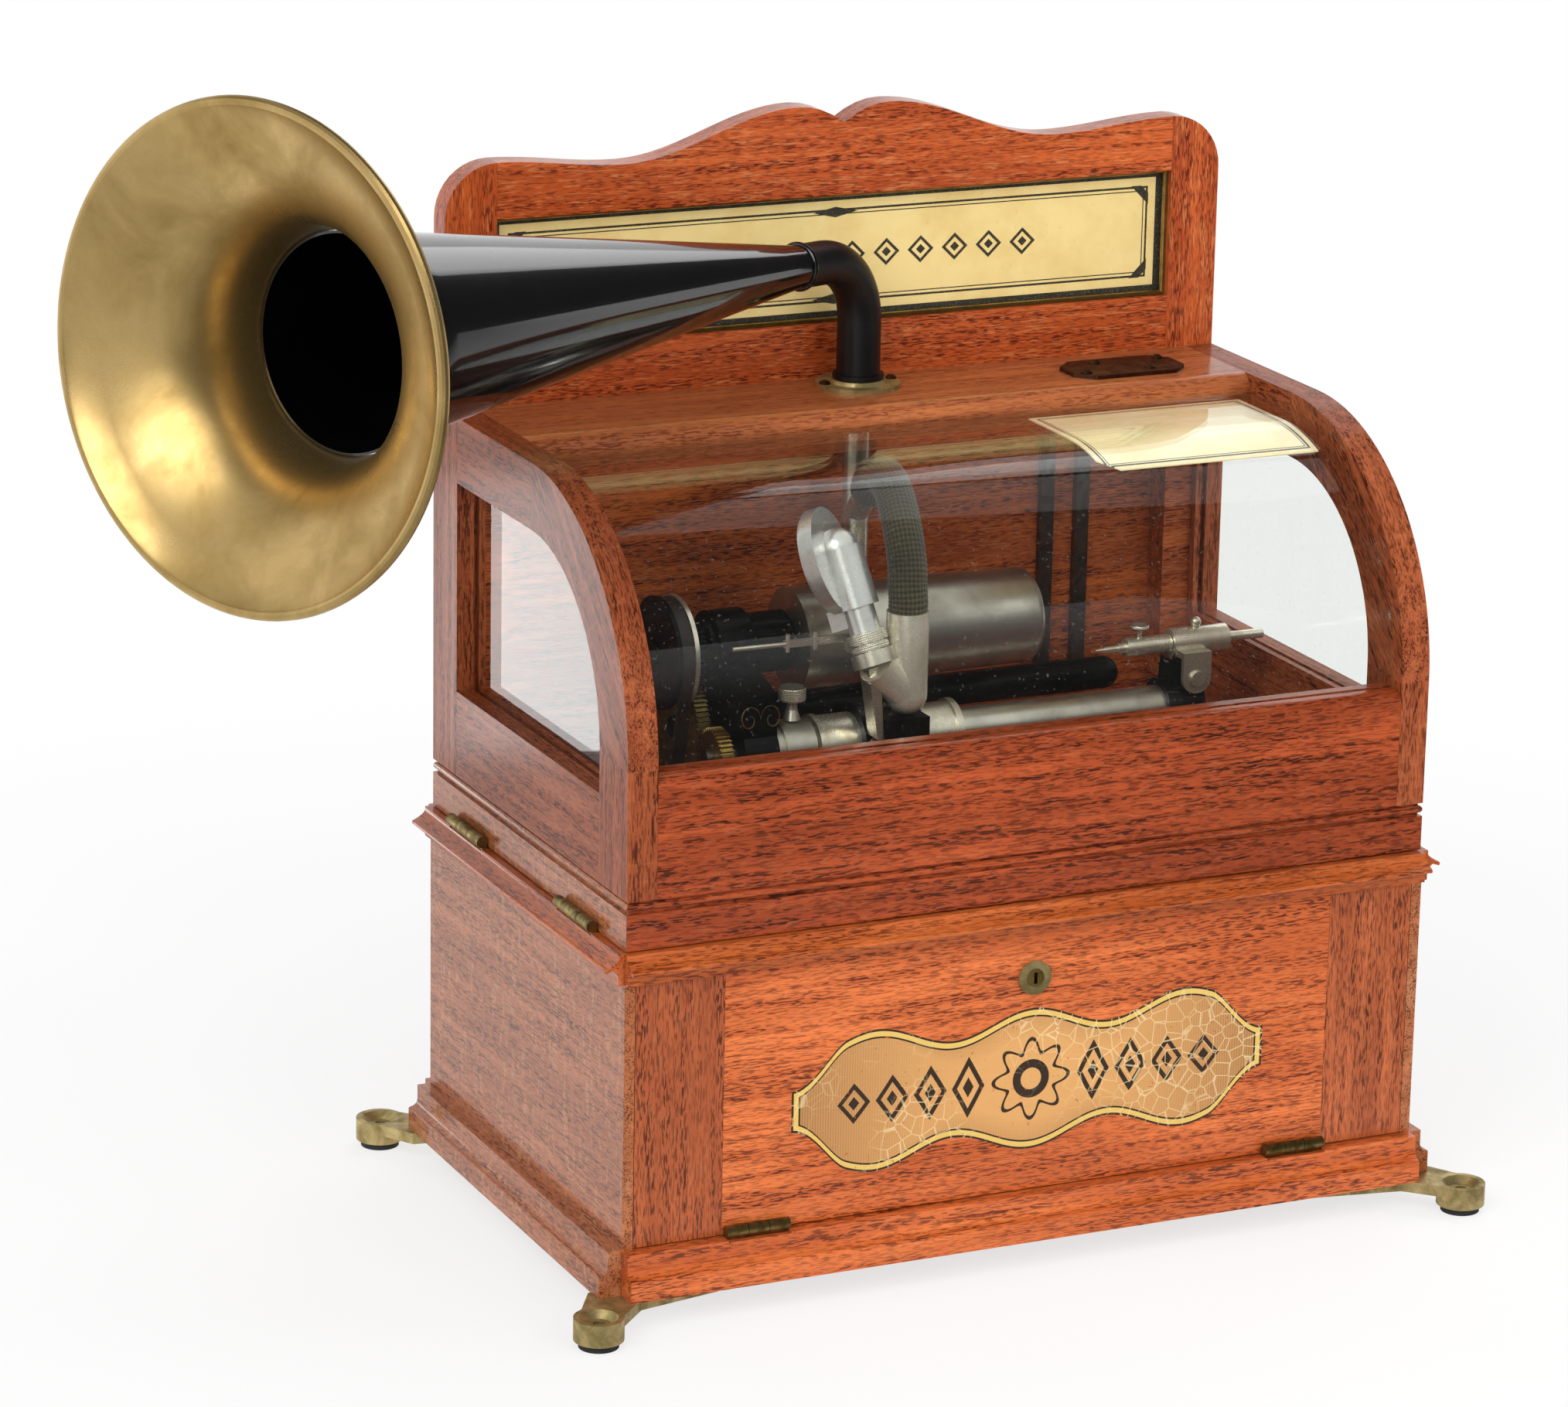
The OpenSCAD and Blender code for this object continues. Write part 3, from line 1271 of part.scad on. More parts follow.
// Door: panel between two cleats, with mortises for the hinges and a hole for the lock
module door_panel() {
    joint = door_half - cleat_w;
    color(oak) difference() {
        box([-joint, -half_d, door_low], [joint, -in_d, door_high]);
        at_door_hinges() leaf_cut(door_hinge_len, free_gap - knuckle_r);
        rod_y(lock_body_d, -half_d - 1, -in_d + 1, 0, lock_z);
    }
}

module door_cleats() {
    joint = door_half - cleat_w + joint_gap;
    color(oak) for (s = [0, 1]) mirror([s, 0, 0])
        box([joint, -half_d, door_low], [door_half, -in_d, door_high]);
}

module door_hinge_flaps() {
    color(brass) at_door_hinges() hinge_moving(door_hinge_len);
}

module lock_barrel() {
    color(aged_brass) difference() {
        union() {
            rod_y(lock_d, -half_d - 1.4, -half_d, 0, lock_z);
            rod_y(lock_body_d, -half_d - 1, -in_d + 2, 0, lock_z);
        }
        rod_y(lock_plug_d + 2 * run_gap, -half_d - 5, -in_d + 5, 0, lock_z);
    }
}

// Lock plug with a key slot in front and the cam behind the door
module lock_cam() {
    cam_y = -in_d + 2 + free_gap;
    color(brass) difference() {
        union() {
            rod_y(lock_plug_d, -half_d - 1.8, cam_y + 2, 0, lock_z);
            box([0, cam_y, lock_z - 4], [15, cam_y + 2, lock_z + 4]);
            rod_y(8, cam_y, cam_y + 2, 15, lock_z);
        }
        box([-0.8, -half_d - 2, lock_z - 2.6], [0.8, -half_d + 3, lock_z + 2.6]);
    }
}

// Knurled screw on top of the collar that holds the feed tube
module bracket_screw() {
    top = feed_z + collar_d / 2;
    color(nickel) translate([collar_x + collar_len / 2, feed_y, 0]) {
        translate([0, 0, top - 3]) cylinder(d = 4, h = 8);
        translate([0, 0, top + free_gap]) cylinder(d1 = 8, d2 = 5, h = 5);
        translate([0, 0, top + 5]) cylinder(d = 5, h = 4);
        translate([0, 0, top + 9]) cylinder(d = 11.8, h = 6);
    }
}

foot_brackets();
foot_pads();
base_moulding();
base_board();
side_panels();
cabinet_back();
waist_moulding();
motor_board();
hinge_leaves();
bed_casting();
feed_tube();
end_bracket();
stop_clamp();
standpipe();
motor_frame();
coin_box();
crank_bush();
drive_belt();
hood_skirt();
end_frames();
front_rail();
top_shelf();
hood_back();
flat_panes();
front_glass();
sign_frame();
sign_card();
coin_plate();
top_screws();
chute_strips();
instruction_card();
horn_flange();
hood_hinge_flaps();
bell();
cone();
elbow();
carriage_sleeve();
saddle();
carriage_arm();
ferrule();
hose();
reproducer_head();
neck_nuts();
trip_bar();
mandrel();
drive_pulley();
idler_gear();
feed_screw();
feed_gear();
spring_barrel();
motor_pulley();
governor();
winding_crank();
door_panel();
door_cleats();
door_hinge_flaps();
lock_barrel();
lock_cam();
stop_rod();
bracket_screw();
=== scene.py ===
"""Camera, light, finishes and fine pieces of a coin-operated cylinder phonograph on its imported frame."""
import logging
import math
from dataclasses import dataclass
from enum import Enum
from typing import Callable, ClassVar, Optional, Sequence, Union

import bmesh
import bpy
import numpy as np
from mathutils import Matrix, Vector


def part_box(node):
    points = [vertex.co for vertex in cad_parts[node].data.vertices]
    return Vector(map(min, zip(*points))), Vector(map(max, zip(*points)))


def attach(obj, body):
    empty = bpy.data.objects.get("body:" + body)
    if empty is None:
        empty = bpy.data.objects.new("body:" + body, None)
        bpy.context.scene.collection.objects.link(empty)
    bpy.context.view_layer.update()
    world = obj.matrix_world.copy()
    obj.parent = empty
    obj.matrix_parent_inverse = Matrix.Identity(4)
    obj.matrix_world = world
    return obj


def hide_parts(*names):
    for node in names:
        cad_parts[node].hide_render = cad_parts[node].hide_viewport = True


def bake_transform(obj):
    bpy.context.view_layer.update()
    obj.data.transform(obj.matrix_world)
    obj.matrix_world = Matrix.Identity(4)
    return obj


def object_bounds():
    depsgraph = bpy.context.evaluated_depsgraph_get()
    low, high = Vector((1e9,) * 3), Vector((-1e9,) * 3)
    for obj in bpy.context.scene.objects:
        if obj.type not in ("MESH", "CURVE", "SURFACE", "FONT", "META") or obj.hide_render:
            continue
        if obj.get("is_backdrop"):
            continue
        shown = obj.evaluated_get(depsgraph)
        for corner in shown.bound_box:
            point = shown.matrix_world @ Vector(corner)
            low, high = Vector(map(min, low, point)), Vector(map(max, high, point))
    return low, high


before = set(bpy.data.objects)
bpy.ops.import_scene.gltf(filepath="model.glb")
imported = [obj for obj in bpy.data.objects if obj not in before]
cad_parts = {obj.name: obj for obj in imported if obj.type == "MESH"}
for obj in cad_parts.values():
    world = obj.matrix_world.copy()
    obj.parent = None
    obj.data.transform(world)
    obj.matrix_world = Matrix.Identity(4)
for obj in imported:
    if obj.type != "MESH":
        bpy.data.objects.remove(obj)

CAD_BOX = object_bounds()
MM = 0.001
PER_M = 1000.0
log = logging.getLogger("phonograph")

Socket = bpy.types.NodeSocket
Finish = bpy.types.Material
Piece = bpy.types.Object
Pair = tuple[float, float]
Point = tuple[float, float, float]
Stops = Sequence[tuple[float, Sequence[float]]]
Add = Callable[..., Socket]
Rule = Callable[[np.ndarray], np.ndarray]

WHITE = (1.0, 1.0, 1.0, 1.0)
LOZENGE_EDGE = 0.86
# The setting that the word after the dot in a node's kind goes to.
MODES = {"Math": "operation", "VectorMath": "operation", "Mix": "data_type", "MapRange": "interpolation_type",
         "TexVoronoi": "feature"}


def linear(code: str) -> tuple[float, float, float, float]:
    """Turns an sRGB hex colour to linear light.

    Args:
        code: six hex digits.

    Returns:
        Linear red, green and blue, and an alpha of 1.
    """
    srgb = np.array([int(code[i:i + 2], 16) for i in (0, 2, 4)]) / 255
    low, high = srgb / 12.92, ((srgb + 0.055) / 1.055) ** 2.4
    red, green, blue = np.where(srgb <= 0.04045, low, high).tolist()
    return red, green, blue, 1.0


class Tree:
    """The node tree of a material or world while it is being laid."""

    def __init__(self, owner: Union[bpy.types.Material, bpy.types.World]) -> None:
        """Empties the owner's tree.

        Args:
            owner: the material or the world.
        """
        owner.use_nodes = True
        self.nodes = owner.node_tree.nodes
        self.links = owner.node_tree.links
        self.nodes.clear()

    def add(self, kind: str, *inputs: object, out: str = "", stops: Stops = (),
            **named: object) -> Optional[Socket]:
        """Adds one node with its settings and links.

        Args:
            kind: the node's type, without its ShaderNode prefix, and its mode after a dot.
            inputs: values or sockets, in the order of the inputs in use.
            out: the output to return, if it isn't the first in use.
            stops: positions and colours of a colour ramp.
            named: inputs by name, with a capital and _ for a space, and the node's own properties.

        Returns:
            The output socket, or None for a node without outputs.
        """
        kind, _, mode = kind.partition(".")
        node = self.nodes.new("ShaderNode" + kind)
        if mode:
            setattr(node, MODES[kind], mode)
        for number, (position, colour) in enumerate(stops):
            mark = node.color_ramp.elements[number]
            mark.position, mark.color = position, colour
        pairs = list(zip((socket for socket in node.inputs if socket.enabled), inputs))
        for key, value in named.items():
            if key[0].isupper():
                pairs.append((node.inputs[key.replace("_", " ")], value))
            else:
                setattr(node, key, value)
        for socket, value in pairs:
            if isinstance(value, Socket):
                self.links.new(value, socket)
            else:
                socket.default_value = value
        return node.outputs[out] if out else next((socket for socket in node.outputs if socket.enabled), None)


def lozenges(add: Add, along: Socket, tall: Socket, size_mm: Pair, line: float, seed: float) -> Socket:
    """Lays a row of lozenges: the shares of half a width and half a height add up to 1 on a lozenge's edge.

    Args:
        add: adds a node to the tree.
        along: the place along the row, in millimetres.
        tall: the height over the row, as a share of half a lozenge.
        size_mm: the row's pitch and half a lozenge's width.
        line: half the width of an outline, as a share.
        seed: size of the filled middle, as a share.

    Returns:
        1 where a lozenge is drawn and 0 elsewhere.
    """
    pitch, half = size_mm
    cell = add("Math.SUBTRACT", add("Math.MODULO", along, pitch), pitch / 2)
    share = add("Math.ADD", add("Math.MULTIPLY", add("Math.ABSOLUTE", cell), 1 / half), tall)
    outline = add("Math.COMPARE", share, LOZENGE_EDGE, line)
    return add("Math.MAXIMUM", outline, add("Math.COMPARE", share, 0.0, seed))


def shows_background(add: Add) -> Socket:
    """Finds the rays that show the background itself: the camera's, and those off metal or through glass.

    Args:
        add: adds a node to the tree.

    Returns:
        1 for such a ray and 0 for others.
    """
    seen = add("LightPath", out="Is Camera Ray")
    for kind in ("Is Glossy Ray", "Is Transmission Ray"):
        seen = add("Math.MAXIMUM", seen, add("LightPath", out=kind))
    return seen


class Look:
    """A finish, which lays its own shader."""

    name: str

    def shader(self, add: Add, place: Socket) -> Socket:
        """Lays the nodes of the finish.

        Args:
            add: adds a node to the tree.
            place: where a point of the piece is, in metres.

        Returns:
            The shader that ends them.
        """
        raise NotImplementedError

    def material(self) -> Finish:
        """Makes the material.

        Returns:
            The material, under the finish's own name.
        """
        made = bpy.data.materials.new(self.name)
        add = Tree(made).add
        add("OutputMaterial", Surface=self.shader(add, add("TexCoord", out="Object")))
        return made


class Grain(Enum):
    """Turn, in degrees about x, y and z, that lays the grain of a board along the pattern's x."""

    X = (0.0, 0.0, 0.0)
    Y = (0.0, 0.0, -90.0)
    Z = (0.0, 90.0, 0.0)
    SLANT = (-45.0, 0.0, -90.0)


@dataclass(frozen=True)
class VarnishedOak(Look):
    """Oak, quarter-sawn, stained red-brown and varnished by brush.

    The eye sees bands of colour along the board, short dark pores, pale rays and a thin clear gloss.
    Pores are drawn about twice as wide as real ones, so that they show. An edge is the span of noise over
    which a layer comes in.
    """

    name: str
    grain: Grain
    ground: str = "A9512C"
    band: str = "8A3D20"
    pore: str = "4F2012"
    ray: str = "C28058"
    ray_share: float = 0.35
    bend: float = 0.35
    ray_bend: float = 0.35
    band_mm: Pair = (190.0, 17.0)
    line_mm: Pair = (70.0, 3.4)
    pore_mm: Pair = (5.4, 0.7)
    ray_mm: Pair = (11.0, 2.6)
    band_edge: Pair = (0.36, 0.62)
    line_edge: Pair = (0.38, 0.66)
    pore_edge: Pair = (0.49, 0.57)
    ray_edge: Pair = (0.54, 0.66)
    crowd: Pair = (0.35, 0.95)
    rough: Pair = (0.45, 0.6)
    relief_mm: float = 0.25
    gloss: float = 0.16
    coat: float = 0.8

    def lay(self, add: Add, place: Socket) -> dict[str, Socket]:
        """Lays the pattern of the wood.

        Args:
            add: adds a node to the tree.
            place: where a point of the board is, in metres.

        Returns:
            Its colour, roughness and height sockets.
        """
        turn = tuple(math.radians(angle) for angle in self.grain.value)
        board = add("Mapping", Vector=place, Rotation=turn)
        fields = {}
        for name, (long_mm, wide_mm), detail, bend, shift in (
                ("band", self.band_mm, 4.0, self.bend, 0.0), ("line", self.line_mm, 2.0, self.bend, 3.1),
                ("pore", self.pore_mm, 1.5, self.bend, 7.3), ("ray", self.ray_mm, 2.0, self.ray_bend, 11.9)):
            scale = (PER_M / long_mm, PER_M / wide_mm, PER_M / wide_mm)
            spot = add("Mapping", Vector=board, Location=(shift,) * 3, Scale=scale)
            fields[name] = add("TexNoise", Vector=spot, Scale=1.0, Detail=detail, Distortion=bend)
        stops = tuple(zip(self.band_edge, (linear(self.band), linear(self.ground))))
        bands = add("ValToRGB", fields["band"], stops=stops)
        lines = add("MapRange", fields["line"], *self.line_edge)
        lined = add("Mix.RGBA", lines, bands, linear(self.band))
        rays = add("MapRange", fields["ray"], *self.ray_edge, 0.0, self.ray_share)
        flecked = add("Mix.RGBA", rays, lined, linear(self.ray))
        crowd = add("MapRange", lines, 0.0, 1.0, *self.crowd)
        pores = add("Math.MULTIPLY", add("MapRange", fields["pore"], *self.pore_edge), crowd)
        return {"colour": add("Mix.RGBA", pores, flecked, linear(self.pore)),
                "rough": add("MapRange", fields["line"], 0.3, 0.7, *self.rough),
                "height": add("Math.MULTIPLY", pores, -1.0)}

    def varnish(self, add: Add, layers: dict[str, Socket]) -> Socket:
        """Puts the varnish over the laid pattern.

        Args:
            add: adds a node to the tree.
            layers: its colour, roughness and height.

        Returns:
            The shader.
        """
        normal = add("Bump", Strength=0.3, Distance=self.relief_mm * MM, Height=layers["height"])
        return add("BsdfPrincipled", Base_Color=layers["colour"], Roughness=layers["rough"], IOR=1.5,
                        Normal=normal, Specular_IOR_Level=0.08, Coat_Weight=self.coat, Coat_IOR=1.5,
                        Coat_Roughness=self.gloss)

    def shader(self, add: Add, place: Socket) -> Socket:
        """Lays the wood and its varnish."""
        return self.varnish(add, self.lay(add, place))


@dataclass(frozen=True)
class PanelTransfer(Look):
    """Oak with a paper transfer under its varnish, tan and gilt, shaded in dark ink and crazed by age."""

    wood: VarnishedOak
    name: str = "crazed_transfer_on_oak"
    centre_mm: Pair = (0.0, 84.0)
    half_mm: Pair = (113.0, 27.0)
    wave_mm: Pair = (5.0, 74.0)
    end_mm: float = 26.0
    end_share: float = 0.42
    fade_mm: float = 30.0
    border_mm: Pair = (-14.0, -3.5)
    dusk: Pair = (0.75, 0.35)
    hatch_per_mm: float = 5.2
    gilt_mm: Pair = (-2.2, 1.1)
    rules_mm: tuple[Pair, Pair] = ((-0.45, 0.5), (-3.7, 0.4))
    petals: float = 8.0
    petal_mm: Pair = (3.0, 15.0)
    petal_line_mm: float = 0.9
    heart_mm: Pair = (6.8, 1.9)
    chain_mm: Pair = (57.0, 36.0)
    lozenge_mm: Pair = (18.0, 7.6)
    lozenge_tall_mm: Pair = (14.5, 8.0)
    field: str = "D8A263"
    shade: str = "7E5130"
    gilt: str = "DDBB63"
    ink: str = "35271B"
    craze: str = "EBD7A4"
    craze_mm: float = 6.5

    def edge(self, add: Add, across: Socket, up: Socket) -> Socket:
        """Lays the plaque's outline: a cosine's height, narrowed at the ends.

        Args:
            add: adds a node to the tree.
            across: distance from the middle to a side, in millimetres.
            up: distance over or under the middle.

        Returns:
            The distance past the outline, below 0 inside it.
        """
        swing, pitch = self.wave_mm
        width, height = self.half_mm
        phase = add("Math.MULTIPLY", across, 2 * math.pi / pitch)
        wave = add("Math.MULTIPLY_ADD", add("Math.COSINE", phase), swing, height)
        taper = add("MapRange.SMOOTHSTEP", across, width - self.end_mm, width, 1.0, self.end_share)
        over = add("Math.SUBTRACT", up, add("Math.MULTIPLY", wave, taper))
        return add("Math.MAXIMUM", over, add("Math.SUBTRACT", across, width))

    def tint(self, add: Add, across: Socket, edge: Socket) -> Socket:
        """Colours the field, hatched darker to its ends and border, and the gilt rim.

        Args:
            add: adds a node to the tree.
            across: distance from the middle to a side, in millimetres.
            edge: distance past the outline.

        Returns:
            The colour.
        """
        ends = add("MapRange", across, self.fade_mm, self.half_mm[0], 0.0, self.dusk[0])
        dusk = add("Math.MAXIMUM", ends, add("MapRange", edge, *self.border_mm, 0.0, self.dusk[1]))
        hatch = add("Math.SINE", add("Math.MULTIPLY", across, self.hatch_per_mm))
        dusk = add("Math.MULTIPLY", add("MapRange", hatch, -1.0, 1.0, 0.55, 1.0), dusk)
        colour = add("Mix.RGBA", dusk, linear(self.field), linear(self.shade))
        return add("Mix.RGBA", add("Math.COMPARE", edge, *self.gilt_mm), colour, linear(self.gilt))

    def drawing(self, add: Add, across: Socket, up: Socket, edge: Socket) -> Socket:
        """Draws the inked lines: a rosette, a chain of lozenges at each side and two rules.

        Args:
            add: adds a node to the tree.
            across: distance from the middle to a side, in millimetres.
            up: distance over or under the middle.
            edge: distance past the outline.

        Returns:
            1 on a line and 0 elsewhere.
        """
        reach = add("VectorMath.LENGTH", add("CombineXYZ", across, up, 0.0))
        angle = add("Math.MULTIPLY", add("Math.ARCTAN2", up, across), self.petals)
        petal = add("Math.MULTIPLY_ADD", add("Math.COSINE", angle), *self.petal_mm)
        drawn = add("Math.COMPARE", add("Math.SUBTRACT", reach, petal), 0.0, self.petal_line_mm)
        middle, half = self.chain_mm
        along = add("Math.SUBTRACT", across, middle - half)
        tall = add("Math.DIVIDE", up, add("MapRange", across, 20.0, 95.0, *self.lozenge_tall_mm))
        chain = lozenges(add, along, tall, self.lozenge_mm, 0.16, 0.34)
        marks = [add("Math.COMPARE", reach, *self.heart_mm),
                 add("Math.MULTIPLY", chain, add("Math.COMPARE", across, middle, half))]
        for mark in marks + [add("Math.COMPARE", edge, *rule) for rule in self.rules_mm]:
            drawn = add("Math.MAXIMUM", drawn, mark)
        return drawn

    def shader(self, add: Add, place: Socket) -> Socket:
        """Lays a scalloped plaque on the wood, mirrored both ways, crazed in patches and rubbed in spots."""
        layers = self.wood.lay(add, place)
        x_mid, z_mid = self.centre_mm
        local = add("Mapping", Vector=place, Location=(-x_mid, 0.0, -z_mid), Scale=(PER_M,) * 3)
        mirrored = add("VectorMath.ABSOLUTE", local)
        across, up = (add("SeparateXYZ", mirrored, out=axis) for axis in "XZ")
        edge = self.edge(add, across, up)
        drawn = self.drawing(add, across, up, edge)
        colour = add("Mix.RGBA", drawn, self.tint(add, across, edge), linear(self.ink))
        cells = add("TexVoronoi.DISTANCE_TO_EDGE", Vector=local, Scale=1 / self.craze_mm, Randomness=0.9)
        patch = add("MapRange", add("TexNoise", Vector=local, Scale=0.022, Detail=2.0), 0.42, 0.6)
        crack = add("Math.MULTIPLY", add("MapRange", cells, 0.0, 0.045, 0.75, 0.0), patch)
        colour = add("Mix.RGBA", crack, colour, linear(self.craze))
        rubbed = add("TexNoise", Vector=local, Scale=0.35, Detail=4.0, Roughness=0.7)
        inside = add("MapRange", edge, -0.15, 0.15, 1.0, 0.0)
        kept = add("Math.MULTIPLY", add("MapRange", rubbed, 0.3, 0.36), inside)
        layers["colour"] = add("Mix.RGBA", kept, layers["colour"], colour)
        return self.wood.varnish(add, layers)


@dataclass(frozen=True)
class WornMetal(Look):
    """Bare or plated metal, turned or rolled, then dulled by handling and air in patches.

    The eye sees brighter and duller patches. The grit is drawn coarser than a real one, so that it shows.
    """

    name: str
    bright: str
    dull: str
    rough: Pair = (0.22, 0.42)
    patch_mm: float = 16.0
    share: Pair = (0.42, 0.66)
    grit_mm: float = 0.7
    grit: float = 0.12
    bare: float = 1.0

    def shader(self, add: Add, place: Socket) -> Socket:
        """Lays patches that mix two colours and roughnesses, and grit that roughens the surface."""
        patch = add("TexNoise", Vector=place, Scale=PER_M / self.patch_mm, Detail=6.0, Roughness=0.62,
                    Distortion=0.4)
        grit = add("TexNoise", Vector=place, Scale=PER_M / self.grit_mm, Detail=2.0)
        tarnish = add("MapRange", patch, *self.share)
        colour = add("Mix.RGBA", tarnish, linear(self.bright), linear(self.dull))
        rough = add("Math.MULTIPLY_ADD", grit, 0.14, add("MapRange", tarnish, 0.0, 1.0, *self.rough))
        normal = add("Bump", Strength=self.grit, Distance=0.05 * MM, Height=grit)
        return add("BsdfPrincipled", Base_Color=colour, Roughness=rough, Metallic=self.bare, Normal=normal)


@dataclass(frozen=True)
class Coating(Look):
    """A coloured skin such as black japan, rubber or dyed leather: a worn ground with a fine surface."""

    name: str
    ground: str
    worn: str
    rough: Pair
    coat: float = 0.0
    gloss: float = 0.1
    patch_mm: float = 12.0
    pebble_mm: float = 1.2
    relief: float = 0.1
    shine: float = 0.5
    coat_ior: float = 1.5
    share: Pair = (0.5, 0.78)

    def shader(self, add: Add, place: Socket) -> Socket:
        """Lays patches of wear that change colour and roughness, and pebbling for the relief."""
        patch = add("TexNoise", Vector=place, Scale=PER_M / self.patch_mm, Detail=5.0, Roughness=0.65)
        pebble = add("TexNoise", Vector=place, Scale=PER_M / self.pebble_mm, Detail=1.0)
        wear = add("MapRange", patch, *self.share)
        return add("BsdfPrincipled", Base_Color=add("Mix.RGBA", wear, linear(self.ground), linear(self.worn)),
                   Roughness=add("MapRange", wear, 0.0, 1.0, *self.rough), IOR=1.5,
                   Normal=add("Bump", Strength=self.relief, Distance=0.1 * MM, Height=pebble),
                   Specular_IOR_Level=self.shine, Coat_Weight=self.coat, Coat_Roughness=self.gloss,
                   Coat_IOR=self.coat_ior)


@dataclass(frozen=True)
class WindowGlass(Look):
    """Drawn sheet glass, clear, with a breath of dust and fine wiping marks."""

    name: str
    head_on: float = 0.03
    edge_on: float = 1.0
    dust: float = 0.004
    specks: float = 0.06
    speck_mm: float = 1.6
    tint: str = "FDFEFD"
    dust_tint: str = "D9D6CE"

    def shader(self, add: Add, place: Socket) -> Socket:
        """Lays glass, clear straight on and more of a mirror the flatter it is met, by the fifth power."""
        smear = add("Mapping", Vector=place, Scale=(40.0, 160.0, 160.0))
        film = add("TexNoise", Vector=smear, Scale=1.0, Detail=6.0, Roughness=0.7)
        speck = add("TexNoise", Vector=place, Scale=PER_M / self.speck_mm, Detail=0.0)
        haze = add("Math.ADD", add("MapRange", film, 0.35, 0.75, 0.0, self.dust),
                   add("MapRange", speck, 0.77, 0.82, 0.0, self.specks))
        slant = add("Math.POWER", add("LayerWeight", Blend=0.5, out="Facing"), 5.0)
        shine = add("Math.MULTIPLY_ADD", slant, self.edge_on - self.head_on, self.head_on)
        mirror = add("BsdfPrincipled", Base_Color=WHITE, Metallic=1.0, Roughness=0.02)
        pane = add("MixShader", shine, add("BsdfTransparent", Color=linear(self.tint)), mirror)
        return add("MixShader", haze, pane, add("BsdfDiffuse", Color=linear(self.dust_tint)))


@dataclass(frozen=True)
class PrintedCard(Look):
    """Pasteboard, printed in black on cream, yellowed and foxed; borders and lozenges only."""

    name: str
    centre_mm: Pair
    half_mm: Pair
    paper: str = "F8DC98"
    foxed: str = "E8C47C"
    ink: str = "2A2620"
    band_mm: float = 4.0
    rule_mm: Pair = (8.4, 10.2)
    rule_half_mm: Pair = (0.5, 0.25)
    chain_mm: float = 0.0
    lozenge_mm: Pair = (17.0, 6.4)
    lozenge_tall_mm: float = 6.2
    corner_mm: Pair = (21.5, 2.6)
    corner_inset_mm: float = 7.6
    boss_inset_mm: float = 9.3
    boss_mm: float = 2.4
    boss_slope: float = 0.22
    stain_mm: float = 24.0
    fibre_mm: float = 0.5
    upright: bool = True

    def drawing(self, add: Add, place: Socket) -> Socket:
        """Draws the printed lines: a band and two rules set in from the edge.

        A card with a chain also has lozenges, a bar across each corner and a boss amid the long sides.

        Args:
            add: adds a node to the tree.
            place: where a point of the card is, in metres.

        Returns:
            1 where the card is printed and 0 elsewhere.
        """
        x_mid, z_mid = self.centre_mm
        lift = (-x_mid, 0.0, -z_mid) if self.upright else (-x_mid, -z_mid, 0.0)
        mirrored = add("VectorMath.ABSOLUTE", add("Mapping", Vector=place, Location=lift, Scale=(PER_M,) * 3))
        across, up = (add("SeparateXYZ", mirrored, out=axis) for axis in ("XZ" if self.upright else "XY"))
        side, top = (add("Math.SUBTRACT", half, way) for half, way in zip(self.half_mm, (across, up)))
        inset = add("Math.MINIMUM", side, top)
        drawn = add("Math.LESS_THAN", inset, self.band_mm)
        marks = [add("Math.COMPARE", inset, *rule) for rule in zip(self.rule_mm, self.rule_half_mm)]
        if self.chain_mm:
            tall = add("Math.MULTIPLY", up, 1 / self.lozenge_tall_mm)
            chain = lozenges(add, across, tall, self.lozenge_mm, 0.15, 0.36)
            bar = add("Math.COMPARE", add("Math.ADD", side, top), *self.corner_mm)
            away = add("Math.ABSOLUTE", add("Math.SUBTRACT", top, self.boss_inset_mm))
            boss = add("Math.MULTIPLY_ADD", across, self.boss_slope, away)
            marks += [add("Math.MULTIPLY", chain, add("Math.LESS_THAN", across, self.chain_mm)),
                      add("Math.MULTIPLY", bar, add("Math.GREATER_THAN", inset, self.corner_inset_mm)),
                      add("Math.LESS_THAN", boss, self.boss_mm)]
        for mark in marks:
            drawn = add("Math.MAXIMUM", drawn, mark)
        return drawn

    def shader(self, add: Add, place: Socket) -> Socket:
        """Lays foxed paper, with the print thinned where the paper's fibres show."""
        stain = add("TexNoise", Vector=place, Scale=PER_M / self.stain_mm, Detail=5.0, Roughness=0.65)
        stained = add("MapRange", stain, 0.42, 0.75, 0.0, 0.8)
        sheet = add("Mix.RGBA", stained, linear(self.paper), linear(self.foxed))
        fibre = add("TexNoise", Vector=place, Scale=PER_M / self.fibre_mm, Detail=1.0)
        thin = add("MapRange", fibre, 0.25, 0.45, 0.82, 1.0)
        inked = add("Math.MULTIPLY", self.drawing(add, place), thin)
        return add("BsdfPrincipled", Base_Color=add("Mix.RGBA", inked, sheet, linear(self.ink)),
                   Roughness=add("MapRange", stain, 0.3, 0.7, 0.6, 0.75),
                   Normal=add("Bump", Strength=0.08, Distance=0.05 * MM, Height=fibre))


